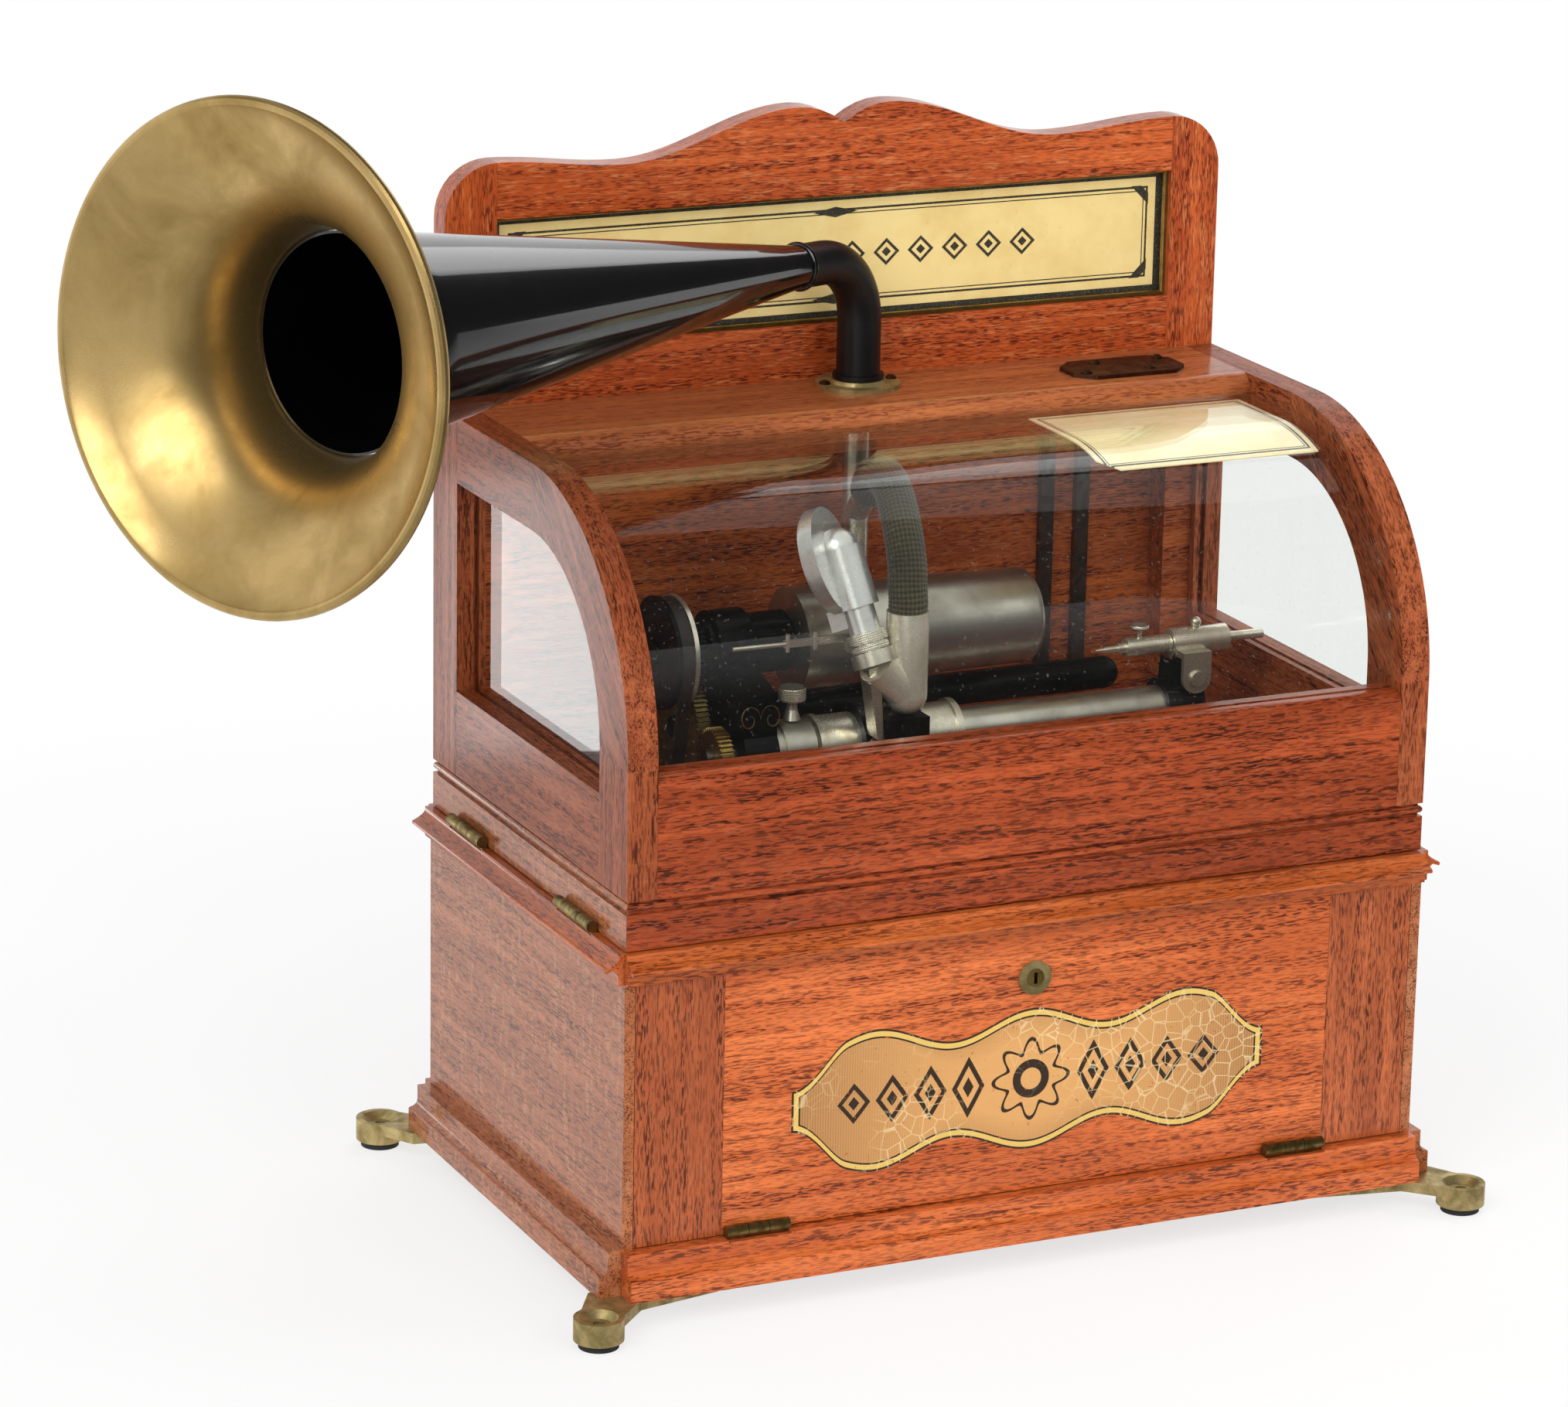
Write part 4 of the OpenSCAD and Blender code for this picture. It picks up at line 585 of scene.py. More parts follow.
@dataclass(frozen=True)
class BraidedCotton(Look):
    """Cotton braid over rubber, woven on a round braider, olive-brown, with painted shade darkening it
    between the threads.
    """

    name: str = "braided_cotton"
    top: str = "544C30"
    gap_shade: str = "1D1B13"
    fuzz_mm: float = 0.6
    dirt_mm: float = 22.0

    def shader(self, add: Add, place: Socket) -> Socket:
        """Lays the braid from the weave attribute, which is 1 on a thread's crown and 0 between threads; the
        colour darkens towards 0 as painted shade.
        """
        weave = add("Attribute", out="Fac", attribute_name="weave")
        fuzz = add("TexNoise", Vector=place, Scale=PER_M / self.fuzz_mm, Detail=2.0)
        dirt = add("TexNoise", Vector=place, Scale=PER_M / self.dirt_mm, Detail=3.0)
        # Painted shade: the weave darkens the colour towards its dark stop between the threads. The dirt
        # noise is a real, random darkening.
        dirt_and_gap_shade = add("Math.MULTIPLY", add("MapRange", dirt, 0.35, 0.7, 1.0, 0.55), weave)
        colour = add("ValToRGB", dirt_and_gap_shade, stops=((0.12, linear(self.gap_shade)), (0.9, linear(self.top))))
        return add("BsdfPrincipled", Base_Color=colour, Roughness=add("MapRange", fuzz, 0.3, 0.7, 0.75, 0.95),
                   Normal=add("Bump", Strength=0.3, Distance=0.1 * MM, Height=fuzz), Sheen_Weight=0.25)


@dataclass(frozen=True)
class PaleFloor(Look):
    """Matt white paper that keeps a soft shadow near the object and is plain white farther off."""

    dark_side: float
    left_side: float
    name: str = "pale_floor"
    shadow_m: Pair = (0.35, 0.9)
    shadow_white: Pair = (0.72, 1.0)
    back_m: Pair = (-0.35, 0.1)
    left_m: Pair = (-0.6, -0.3)

    def shader(self, add: Add, place: Socket) -> Socket:
        """Lays faintly mottled paper, with a glow that metal sees only behind and at the left."""
        mottle = add("TexNoise", Vector=place, Scale=3.0)
        paper = add("ValToRGB", mottle, stops=((0.3, linear("F2F2F2")), (0.7, linear("F8F8F8"))))
        spread = add("VectorMath.LENGTH", place)
        white = add("MapRange.SMOOTHSTEP", spread, *self.shadow_m, *self.shadow_white)
        share = add("Math.MULTIPLY", shows_background(add), white)
        along, deep = (add("SeparateXYZ", place, out=axis) for axis in "XY")
        behind = add("MapRange.SMOOTHSTEP", deep, *self.back_m, self.dark_side, 1.0)
        left = add("MapRange.SMOOTHSTEP", along, *self.left_m, self.left_side, 0.0)
        bright = add("Math.MAXIMUM", behind, left)
        level = add("Mix.FLOAT", add("LightPath", out="Is Glossy Ray"), 1.0, bright)
        glow = add("Emission", Color=WHITE, Strength=level)
        return add("MixShader", share, add("BsdfDiffuse", Color=paper), glow)


def all_finishes() -> dict[str, Finish]:
    """Makes the finishes that the sub-assemblies share.

    Returns:
        The materials by name.
    """
    x, z = Grain.X, Grain.Z
    front = {"ground": "E47A40", "band": "C05C2A", "pore": "58220E", "ray_share": 0.12}
    metals = (
        ("spun_brass", "C6A86E", "9E824A", (0.2, 0.34), 34.0, (0.38, 0.72), 0.5, 0.07, 0.9),
        ("tarnished_cast_brass", "D2BC86", "9C8C5A", (0.36, 0.56), 9.0, (0.35, 0.62), 0.9, 0.3, 0.85),
        ("tarnished_rolled_brass", "A18C55", "63562F", (0.34, 0.55), 6.0, (0.38, 0.66), 0.6, 0.2),
        ("cut_brass", "B89A58", "8A7440", (0.25, 0.42), 10.0),
        ("nickel_plate", "DAD4C2", "B8AE94", (0.2, 0.36), 12.0, (0.46, 0.74), 0.6, 0.06, 0.85),
        # The ferrule's nickel: a lighter, less metallic copy of nickel_plate, painted lighter to stand in for
        # the light on it.
        ("bright_nickel_plate", "F2ECD8", "D2CAB2", (0.18, 0.32), 12.0, (0.46, 0.74), 0.6, 0.05, 0.65),
        ("turned_nickelled_brass", "CCC8BA", "A09B8E", (0.24, 0.36), 30.0, (0.4, 0.7), 0.4, 0.06, 0.97),
        ("oiled_steel", "77767A", "4A4743", (0.24, 0.42), 14.0, (0.38, 0.66), 0.5, 0.08),
        ("blued_steel", "7A756C", "4A453E", (0.28, 0.44), 10.0, (0.38, 0.66), 0.5, 0.1),
        ("polished_aluminium", "E2E2DE", "C6C5BF", (0.22, 0.34), 14.0, (0.45, 0.75), 0.5, 0.05, 0.82),
        ("oxidised_copper_plate", "6B4B38", "4A3226", (0.4, 0.58), 7.0, (0.35, 0.65), 0.6, 0.25))
    coatings = (
        ("stoved_black_japan", "050506", "100F0E", (0.3, 0.42), 0.25, 0.08, 18.0, 1.4, 0.04, 0.1),
        ("oiled_black_japan", "040405", "0D0C0B", (0.4, 0.55), 0.1, 0.12, 18.0, 1.4, 0.04, 0.06),
        ("polished_black_japan", "040405", "0C0B0B", (0.26, 0.36), 1.0, 0.06, 60.0, 2.2, 0.05, 0.05, 1.65),
        ("dull_black_paint", "0E0E10", "1E1C1A", (0.42, 0.55), 0.15, 0.3, 16.0, 0.9, 0.12, 0.3),
        ("black_rubber", "202024", "34332F", (0.7, 0.85), 0.0, 0.1, 6.0, 0.7, 0.3),
        ("belt_leather", "1E130C", "120B07", (0.55, 0.7), 0.1, 0.3, 9.0, 1.1, 0.5),
        ("ebonised_wood", "1B1512", "3A2A1E", (0.35, 0.5), 0.5, 0.2, 14.0, 0.8, 0.2))
    looks = [
        *(WornMetal(*own) for own in metals), *(Coating(*own) for own in coatings),
        PanelTransfer(VarnishedOak("oak_door", x, **front)), BraidedCotton(),
        VarnishedOak("oak_cleat", z, "CA6C3E", "A4522C", "4C1E0E", ray_share=0.1),
        VarnishedOak("oak_shelf", x, "C2703E", "A65C34", "74381C", ray_share=0.1),
        VarnishedOak("oak_inner", x, "C4662E", "964620", "46190A", ray_share=0.2, coat=0.25),
        WindowGlass("bent_sheet_glass"), WindowGlass("flat_sheet_glass", 0.02, 0.5)]
    for board, grains, own in (
            ("front", "X", front),
            ("side", "Y", {"ground": "C0744A", "band": "A66038", "pore": "5A2C18", "ray": "D09870",
                           "ray_mm": (5.0, 24.0), "ray_bend": 1.4, "pore_mm": (4.6, 0.7)}),
            ("frame", "Y Z SLANT", {"ground": "AE5C36", "band": "8E4626", "pore": "42190C", "ray": "BE744A",
                                    "ray_share": 0.2, "ray_mm": (4.5, 16.0), "ray_bend": 1.4, "coat": 0.35}),
            ("rail", "X", {"ground": "B65228", "band": "8E3C1A", "pore": "38140A", "ray_share": 0.1}),
            ("sign", "X Z", {"ground": "CA602C", "band": "AA4A20", "pore": "581E0E", "ray": "D48450",
                             "ray_share": 0.5, "ray_mm": (13.0, 1.2)}),
            ("lip", "X Y", {"ground": "CE6C34", "band": "AE5424", "pore": "5E260E", "ray_share": 0.12})):
        looks += [VarnishedOak(f"oak_{board}_{way.lower()}", Grain[way], **own) for way in grains.split()]
    return {look.name: look.material() for look in looks}


def surface(name: str, points: np.ndarray, finish: Finish, loop_rows: bool = False,
            loop_columns: bool = False, crease: float = 35.0) -> Piece:
    """Makes a piece from a grid of points: each cell of the grid becomes a four-sided face.

    Args:
        name: the piece's name.
        points: rows by columns by xyz, in millimetres.
        finish: its material.
        loop_rows: joins the last row to the first.
        loop_columns: joins the last column to the first.
        crease: angle in degrees past which an edge stays sharp.

    Returns:
        The piece, at the origin.
    """
    rows, columns = points.shape[:2]
    index = np.arange(rows * columns).reshape(rows, columns)
    index = np.vstack([index, index[:1]]) if loop_rows else index
    index = np.hstack([index, index[:, :1]]) if loop_columns else index
    faces = np.stack([index[:-1, :-1], index[:-1, 1:], index[1:, 1:], index[1:, :-1]], axis=-1)
    mesh = bpy.data.meshes.new(name)
    mesh.from_pydata((points.reshape(-1, 3) * MM).tolist(), [], faces.reshape(-1, 4).tolist())
    shell = bmesh.new()
    shell.from_mesh(mesh)
    bmesh.ops.remove_doubles(shell, verts=shell.verts, dist=0.0005 * MM)
    bmesh.ops.recalc_face_normals(shell, faces=shell.faces)
    shell.to_mesh(mesh)
    shell.free()
    mesh.shade_smooth()
    mesh.set_sharp_from_angle(angle=math.radians(crease))
    mesh.materials.append(finish)
    piece = bpy.data.objects.new(name, mesh)
    bpy.context.collection.objects.link(piece)
    log.info("made %s with %d faces", name, len(mesh.polygons))
    return piece


def basis(axis: Sequence[float]) -> np.ndarray:
    """Makes a frame from one direction by two cross products.

    Args:
        axis: the direction.

    Returns:
        Three unit rows, the last along axis and the others square to it.
    """
    last = np.array(axis, float) / np.linalg.norm(axis)
    helper = np.array((0.0, 0.0, 1.0)) if abs(last[2]) < 0.9 else np.array((1.0, 0.0, 0.0))
    first = np.cross(helper, last)
    first /= np.linalg.norm(first)
    return np.array((first, np.cross(last, first), last))


def round_points(base: Sequence[float], axis: Sequence[float], around: np.ndarray, reach: np.ndarray,
                 level: np.ndarray) -> np.ndarray:
    """Gives the points of a turned form: out from the axis by reach, and along it by level.

    Args:
        base: where the axis starts, in millimetres.
        axis: its direction.
        around: one row of angles.
        reach: radius of each row, or of each point.
        level: height of each row, or of each point.

    Returns:
        Rows by columns by xyz, in millimetres.
    """
    first, second, last = basis(axis)
    spokes = np.cos(around)[..., None] * first + np.sin(around)[..., None] * second
    return np.array(base, float) + reach[..., None] * spokes + level[..., None] * last


def knurl(name: str, base: Sequence[float], axis: Sequence[float], radius: float, bore: float, length: float,
          teeth: int, depth: float, finish: Finish) -> Piece:
    """Makes a diamond-knurled ring: its radius falls by the product of two crossing helical waves.

    Args:
        name: the piece's name.
        base: the middle of its lower face, in millimetres.
        axis: direction it stands in.
        radius: outer radius over the knurl.
        bore: inner radius.
        length: height of the ring.
        teeth: number of waves around.
        depth: depth of the knurl.
        finish: its material.

    Returns:
        The piece.
    """
    points_a_tooth, rows, ease_mm = 8, 25, 0.6
    around = np.linspace(0, 2 * math.pi, teeth * points_a_tooth, endpoint=False)[None]
    rise = np.linspace(0, 1, rows)[:, None]
    pitch = length * teeth / radius
    wave = np.cos(teeth * around + pitch * rise) * np.cos(teeth * around - pitch * rise)
    ease = np.clip(np.minimum(rise, 1 - rise) * length / ease_mm, 0, 1)
    outer = radius - depth + ease * depth * (0.5 + 0.5 * wave)
    bored = np.full_like(outer[:1], bore)
    level = np.vstack([[[0.0]], rise, [[1.0]]]) * length
    points = round_points(base, axis, around, np.vstack([bored, outer, bored]), level)
    return surface(name, points, finish, loop_rows=True, loop_columns=True, crease=80.0)


def slotted_head(name: str, base: Sequence[float], axis: Sequence[float], radius: float, dome: float,
                 turn: float, finish: Finish) -> Piece:
    """Makes a slotted screw head: a dome over a disc, pressed down where a straight slot crosses it.

    Args:
        name: the piece's name.
        base: the middle of its under side, in millimetres.
        axis: direction it faces.
        radius: of the head.
        dome: height at the middle.
        turn: slot's angle in degrees.
        finish: its material.

    Returns:
        The piece.
    """
    slot_half, slot_depth, fall = 0.14, 0.4, 0.75
    around = np.linspace(0, 2 * math.pi, 72, endpoint=False)[None]
    share = np.concatenate([np.linspace(0, 1, 22), [1.0, 0.0]])[:, None]
    reach = share * radius
    height = dome * np.sqrt(np.clip(1 - fall * share ** 2, 0, 1)) * np.ones_like(around)
    slot = np.abs(reach * np.sin(around - math.radians(turn))) < slot_half * radius
    height = np.where(slot, height - slot_depth * dome, height)
    height[-2:] = 0.0
    return surface(name, round_points(base, axis, around, reach, height), finish, loop_columns=True)


def carry(piece: Piece, body: str) -> None:
    """Rides a made piece on a CAD body."""
    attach(piece, body)


@dataclass(frozen=True)
class SoftBox:
    """An area lamp. The camera never shows it, and glossy surfaces only if it is mirrored."""

    name: str
    place_m: Point
    watts: float
    size_m: Pair
    mirrored: bool = True
    aim_m: Point = (0.0, 0.0, 0.25)

    def hang(self) -> None:
        """Puts the lamp in its place."""
        light = bpy.data.lights.new(self.name, "AREA")
        light.shape, light.energy = "RECTANGLE", self.watts
        light.size, light.size_y = self.size_m
        holder = bpy.data.objects.new(self.name, light)
        pose = np.eye(4)
        pose[:3, :3] = basis(np.array(self.place_m) - np.array(self.aim_m)).T
        pose[:3, 3] = self.place_m
        holder.matrix_world = Matrix(pose.tolist())
        holder.visible_camera, holder.visible_glossy = False, self.mirrored
        bpy.context.collection.objects.link(holder)


@dataclass
class Studio:
    """Camera at the photograph's angle, pale floor and soft light.

    A pair that ends in x, y or z is a span of a ray's direction over which a part of the room comes in.
    """

    image_px: Pair = (2028.0, 1820.0)
    focal_px: float = 7567.8
    centre_px: Pair = (1036.25, 879.04)
    azimuth: float = -25.09
    elevation: float = 16.17
    roll: float = 1.13
    eye_mm: Point = (-1094.1, -2206.6, 945.1)
    sensor_mm: float = 36.0
    room_level: float = 0.5
    dark_side: float = 0.06
    left_side: float = 0.62
    wall_y: Pair = (-0.15, 0.3)
    wall_z: Pair = (0.5, 0.6)
    wall_end_x: Pair = (0.4, 0.5)
    wall_end_y: Pair = (0.36, 0.42)
    left_x: Pair = (-0.65, -0.25)
    ceiling_z: Pair = (0.1, 0.55)
    pane_faces: Pair = (2.4, 2.6)
    floor_m: float = 30.0
    floor_drop_mm: float = 0.2
    boxes: tuple[SoftBox, ...] = (
        SoftBox("soft_box_left", (-1.7, -1.3, 1.7), 34.0, (1.5, 1.5)),
        SoftBox("soft_box_back", (1.45, 1.25, 1.8), 4.5, (1.2, 1.0)),
        SoftBox("fill_top", (0.9, 0.7, 2.2), 7.0, (1.8, 0.6), mirrored=False),
        SoftBox("fill_front", (0.6, -2.4, 1.1), 22.0, (1.6, 1.6), mirrored=False),
        SoftBox("fill_right", (2.2, -0.7, 1.1), 14.0, (1.2, 1.6), mirrored=False),
        SoftBox("bounce_card", (-0.445, 0.624, 0.092), 0.17, (0.085, 0.15), aim_m=(-0.189, 0.0, 0.28)))

    def camera(self) -> None:
        """Sets the camera from its three angles, its place and the photograph's middle."""
        turn, tilt, lean = (math.radians(angle) for angle in (self.azimuth, self.elevation, self.roll))
        back = np.array((math.sin(turn) * math.cos(tilt), -math.cos(turn) * math.cos(tilt), math.sin(tilt)))
        right = np.cross(-back, (0.0, 0.0, 1.0))
        right /= np.linalg.norm(right)
        up = np.cross(back, right)
        pose = np.eye(4)
        pose[:3, 0] = math.cos(lean) * right + math.sin(lean) * up
        pose[:3, 1] = math.cos(lean) * up - math.sin(lean) * right
        pose[:3, 2], pose[:3, 3] = back, np.array(self.eye_mm) * MM
        wide, high = self.image_px
        lens = bpy.data.cameras.new("camera")
        lens.sensor_fit, lens.sensor_width = "HORIZONTAL", self.sensor_mm
        lens.lens = self.focal_px * self.sensor_mm / wide
        lens.shift_x = (wide / 2 - self.centre_px[0]) / wide
        lens.shift_y = (self.centre_px[1] - high / 2) / wide
        lens.clip_end = 100.0
        holder = bpy.data.objects.new("camera", lens)
        holder.matrix_world = Matrix(pose.tolist())
        bpy.context.collection.objects.link(holder)
        bpy.context.scene.camera = holder

    def light(self) -> None:
        """Lights the room: white behind and at the left, dim in front, with the soft boxes.

        Behind the glass the ceiling is bright: light that meets four faces of a pane has gone in and out.
        """
        world = bpy.data.worlds.new("studio")
        bpy.context.scene.world = world
        add = Tree(world).add
        way = add("TexCoord", out="Generated")
        x, y, z = (add("SeparateXYZ", way, out=axis) for axis in "XYZ")
        behind = add("MapRange.SMOOTHSTEP", y, *self.wall_y)
        wall = add("Math.MULTIPLY", behind, add("MapRange.SMOOTHSTEP", z, *self.wall_z, 1.0, 0.0))
        right = add("MapRange", x, *self.wall_end_x)
        ended = add("Math.MULTIPLY", right, add("MapRange", y, *self.wall_end_y, 1.0, 0.0))
        wall = add("Math.MULTIPLY", wall, add("Math.SUBTRACT", 1.0, ended))
        left = add("MapRange.SMOOTHSTEP", x, *self.left_x, self.left_side, 0.0)
        passed = add("MapRange", add("LightPath", out="Transparent Depth"), *self.pane_faces)
        ceiling = add("Math.MULTIPLY", passed, add("MapRange.SMOOTHSTEP", z, *self.ceiling_z))
        for bright in (left, ceiling):
            wall = add("Math.MAXIMUM", wall, bright)
        wall = add("MapRange", wall, 0.0, 1.0, self.dark_side, 1.0)
        shown = add("Math.MAXIMUM", wall, add("LightPath", out="Is Camera Ray"))
        level = add("Mix.FLOAT", shows_background(add), self.room_level, shown)
        add("OutputWorld", Surface=add("Background", Color=WHITE, Strength=level))
        for box in self.boxes:
            box.hang()
        bpy.context.scene.view_settings.view_transform = "Standard"

    def floor(self) -> None:
        """Lays the floor: a flat grid, a hair below the feet."""
        reach = np.linspace(-self.floor_m, self.floor_m, 3) / MM
        x, y = np.meshgrid(reach, reach)
        points = np.stack([x, y, np.full_like(x, -self.floor_drop_mm)], axis=-1)
        plane = surface("floor", points, PaleFloor(self.dark_side, self.left_side).material())
        plane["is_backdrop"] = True


@dataclass
class Assembly:
    """A part of the object: the nodes that have one finish are listed by finish, and rest does the others."""

    finishes: dict[str, Finish]
    plain: ClassVar[dict[str, str]] = {}

    def dress(self, node: str, looks: str, rule: Optional[Rule] = None) -> None:
        """Gives a CAD node its materials and smooth shading over its curved faces.

        Args:
            node: the node's name.
            looks: the names of its materials.
            rule: takes the face centres in millimetres and gives each face the number of its material.
        """
        weld_mm, crease = 0.002, 28.0
        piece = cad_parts[node]
        mesh = piece.data
        mesh.materials.clear()
        for look in looks.split():
            mesh.materials.append(self.finishes[look])
        count = len(mesh.polygons)
        if rule:
            centres = np.empty(3 * count)
            mesh.polygons.foreach_get("center", centres)
            mesh.polygons.foreach_set("material_index", rule(centres.reshape(-1, 3) / MM).astype(np.int32))
        mesh.polygons.foreach_set("use_smooth", np.ones(count, bool))
        piece.modifiers.new("weld", "WELD").merge_threshold = weld_mm * MM
        piece.modifiers.new("crease", "EDGE_SPLIT").split_angle = math.radians(crease)
        log.info("dressed %s", node)

    def paste(self, node: str, card: PrintedCard) -> None:
        """Makes a card's print and dresses its node."""
        self.finishes[card.name] = card.material()
        self.dress(node, card.name)

    def build(self) -> None:
        """Dresses the plain nodes, then does the rest."""
        for look, nodes in self.plain.items():
            for node in nodes.split():
                self.dress(node, look)
        self.rest()
        log.info("finished %s", type(self).__name__)

    def rest(self) -> None:
        """Does nothing more, unless a sub-assembly has its own."""


@dataclass
class MitredCase(Assembly):
    """A sub-assembly with a frame of sticks that are mitred at its corners."""

    half_mm: Pair = (190.0, 110.0)

    def sticks(self, centres: np.ndarray) -> np.ndarray:
        """Picks 0 for sticks along x and 1 for sticks along y."""
        return np.abs(centres[:, 0]) - self.half_mm[0] > np.abs(centres[:, 1]) - self.half_mm[1]


@dataclass
class SpeakingTube(Assembly):
    """The braided hose between the carriage's ferrule and the standpipe."""

    base_mm: Point = (-20.0, -20.0, 270.8)
    route_mm: tuple[Point, ...] = (
        (0, 0, 0), (0, 0, 5), (0, 1, 11), (1, 4, 20), (2, 10, 30), (4, 19, 38), (7, 31, 44), (10, 44, 47),
        (13, 56, 46), (16, 67, 43), (18, 76, 38), (20, 83, 32))
    diameter_mm: float = 17.4
    threads: int = 14
    thread_mm: float = 0.55
    points_a_thread: int = 8
    steps: int = 24
    stiff_points: int = 5

    def line(self) -> np.ndarray:
        """Draws a Catmull-Rom curve through the route's points.

        Returns:
            The centre line in millimetres.
        """
        marks = np.array(self.base_mm) + np.array(self.route_mm, float)
        marks = np.vstack([2 * marks[0] - marks[1], marks, 2 * marks[-1] - marks[-2]])
        t = np.linspace(0, 1, self.steps, endpoint=False)[None, :, None]
        a, b, c, d = (marks[i:len(marks) - 3 + i, None] for i in range(4))
        square, cube = 2 * a - 5 * b + 4 * c - d, 3 * b - a - 3 * c + d
        spans = 0.5 * (2 * b + (c - a) * t + square * t ** 2 + cube * t ** 3)
        return np.vstack([spans.reshape(-1, 3), marks[-2:-1]])

    def rest(self) -> None:
        """Makes the tube: a circle carried along the line and raised by the product of two helical waves.
        """
        line = self.line()
        run = np.concatenate([[0.0], np.cumsum(np.linalg.norm(np.diff(line, axis=0), axis=1))])
        along = np.gradient(line, run, axis=0)
        along /= np.linalg.norm(along, axis=1, keepdims=True)
        side = np.cross(along, (1.0, 0.0, 0.0))
        side /= np.linalg.norm(side, axis=1, keepdims=True)
        other = np.cross(side, along)
        around = np.linspace(0, 2 * math.pi, self.threads * self.points_a_thread, endpoint=False)[None]
        pitch = 2 * math.pi * run[:, None] / (math.pi * self.diameter_mm / self.threads)
        weave = 0.5 + 0.5 * np.cos(self.threads * around + pitch) * np.cos(self.threads * around - pitch)
        reach = self.diameter_mm / 2 - self.thread_mm * (1 - weave)
        ring = np.cos(around)[..., None] * side[:, None] + np.sin(around)[..., None] * other[:, None]
        points = line[:, None] + reach[..., None] * ring
        first, last = (np.repeat(line[i][None, None], points.shape[1], axis=1) for i in (0, -1))
        tube = surface("hose_braid", np.concatenate([first, points, last]), self.finishes["braided_cotton"],
                       loop_columns=True, crease=75.0)
        # The weave heights also darken the braid's colour between the threads, as painted shade.
        heights = np.concatenate([[0.5], weave.ravel(), [0.5]]).astype(np.float32)
        mark = tube.data.attributes.new("weave", "FLOAT", "POINT")
        mark.data.foreach_set("value", heights)
        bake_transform(tube)
        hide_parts("hose")
        log.info("hose is %.1f mm long", run[-1])


@dataclass
class Cabinet(MitredCase):
    """Lower case: feet, mouldings, sides, boards and the fixed iron of the mechanism."""

    plain = {
        "tarnished_cast_brass": "foot_brackets", "black_rubber": "foot_pads", "oak_side_y": "side_panels",
        "oak_inner": "base_board cabinet_back motor_board", "tarnished_rolled_brass": "hinge_leaves",
        "oiled_black_japan": "bed_casting", "stoved_black_japan": "end_bracket", "blued_steel": "coin_box",
        "turned_nickelled_brass": "feed_tube", "nickel_plate": "stop_clamp standpipe",
        "cut_brass": "crank_bush", "oiled_steel": "motor_frame", "belt_leather": "drive_belt"}

    def rest(self) -> None:
        """Dresses the mouldings, stick by stick."""
        self.dress("base_moulding", "oak_front_x oak_side_y", self.sticks)
        self.dress("waist_moulding", "oak_lip_x oak_lip_y", self.sticks)


@dataclass
class CastingScroll(Assembly):
    """Gilt line work painted on the front edge of the black casting."""

    centre_mm: Point = (-84.5, -10.2, 226.0)
    lean: float = 0.105
    size_mm: float = 5.2
    width_mm: float = 0.7
    thick_mm: float = 0.12
    turns: float = 1.3
    shrink: float = 0.8
    stretch: float = 1.25

    def rest(self) -> None:
        """Makes the scroll: a thin strip along two spirals that meet in the middle, mirrored."""
        brass = self.finishes["cut_brass"]
        t = np.linspace(0, 1, 90)
        spiral = 2 * math.pi * self.turns * t
        reach = self.size_mm * (1 - self.shrink * t)
        width = self.width_mm * (0.35 + 0.65 * np.sin(math.pi * t))[:, None] / 2
        for number, sign in enumerate((-1.0, 1.0), start=1):
            x = sign * (self.size_mm - reach * np.cos(spiral))
            line = np.stack([x, reach * np.sin(spiral) * self.stretch], axis=-1)
            way = np.gradient(line, axis=0)
            square = np.stack([-way[:, 1], way[:, 0]], axis=-1)
            square /= np.linalg.norm(square, axis=1, keepdims=True)
            rows = []
            for lift, share in ((0.0, 1.0), (self.thick_mm, 0.8), (self.thick_mm, -0.8), (0.0, -1.0)):
                across, up = (line + share * width * square).T
                rows.append(np.stack([across, self.lean * up - lift, up], axis=-1))
            points = np.array(self.centre_mm) + np.stack(rows, axis=1)
            scroll = surface(f"casting_scroll_{number}", points, brass, loop_columns=True)
            carry(scroll, "cabinet")


@dataclass
class Hood(MitredCase):
    """Glazed hood: skirt, end frames, rail, shelf, back, glass and small plates."""

    half_mm: Pair = (189.2, 109.2)
    stile_y_mm: float = 81.2
    rail_top_mm: float = 224.6
    rail_y_mm: float = -79.2
    top_y_mm: float = 16.8
    curve_z_mm: float = 241.5
    plain = {
        "oak_rail_x": "front_rail", "oak_shelf": "top_shelf", "oak_inner": "hood_back",
        "flat_sheet_glass": "flat_panes", "bent_sheet_glass": "front_glass", "blued_steel": "chute_strips",
        "oxidised_copper_plate": "coin_plate top_screws", "tarnished_cast_brass": "horn_flange",
        "tarnished_rolled_brass": "hood_hinge_flaps"}

    def members(self, centres: np.ndarray) -> np.ndarray:
        """Tells the members of the end frames apart.

        Args:
            centres: face centres in millimetres.

        Returns:
            0 for the stile, 1 for the rail and the top, 2 for the bent member, 3 for its lower end.
        """
        y, z = centres[:, 1], centres[:, 2]
        bent = np.where(z < self.curve_z_mm, 3, np.where(y > self.top_y_mm, 1, 2))
        rail = (z < self.rail_top_mm) & (y > self.rail_y_mm)
        return np.where(y > self.stile_y_mm, 0, np.where(rail, 1, bent))

    def rest(self) -> None:
        """Dresses the skirt and the end frames, member by member, and prints the instruction card."""
        self.dress("hood_skirt", "oak_rail_x oak_side_y", self.sticks)
        self.dress("end_frames", "oak_frame_z oak_frame_y oak_frame_slant oak_frame_z", self.members)
        low, high = (np.array(corner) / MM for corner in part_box("instruction_card"))
        middle, half = (low + high) / 2, (high - low) / 2
        self.paste("instruction_card", PrintedCard(
            "printed_notice_card", (middle[0], middle[1]), (half[0], half[1]), "FFF2C6", "EED99A",
            band_mm=0.0, rule_mm=(3.0, 4.4), upright=False))


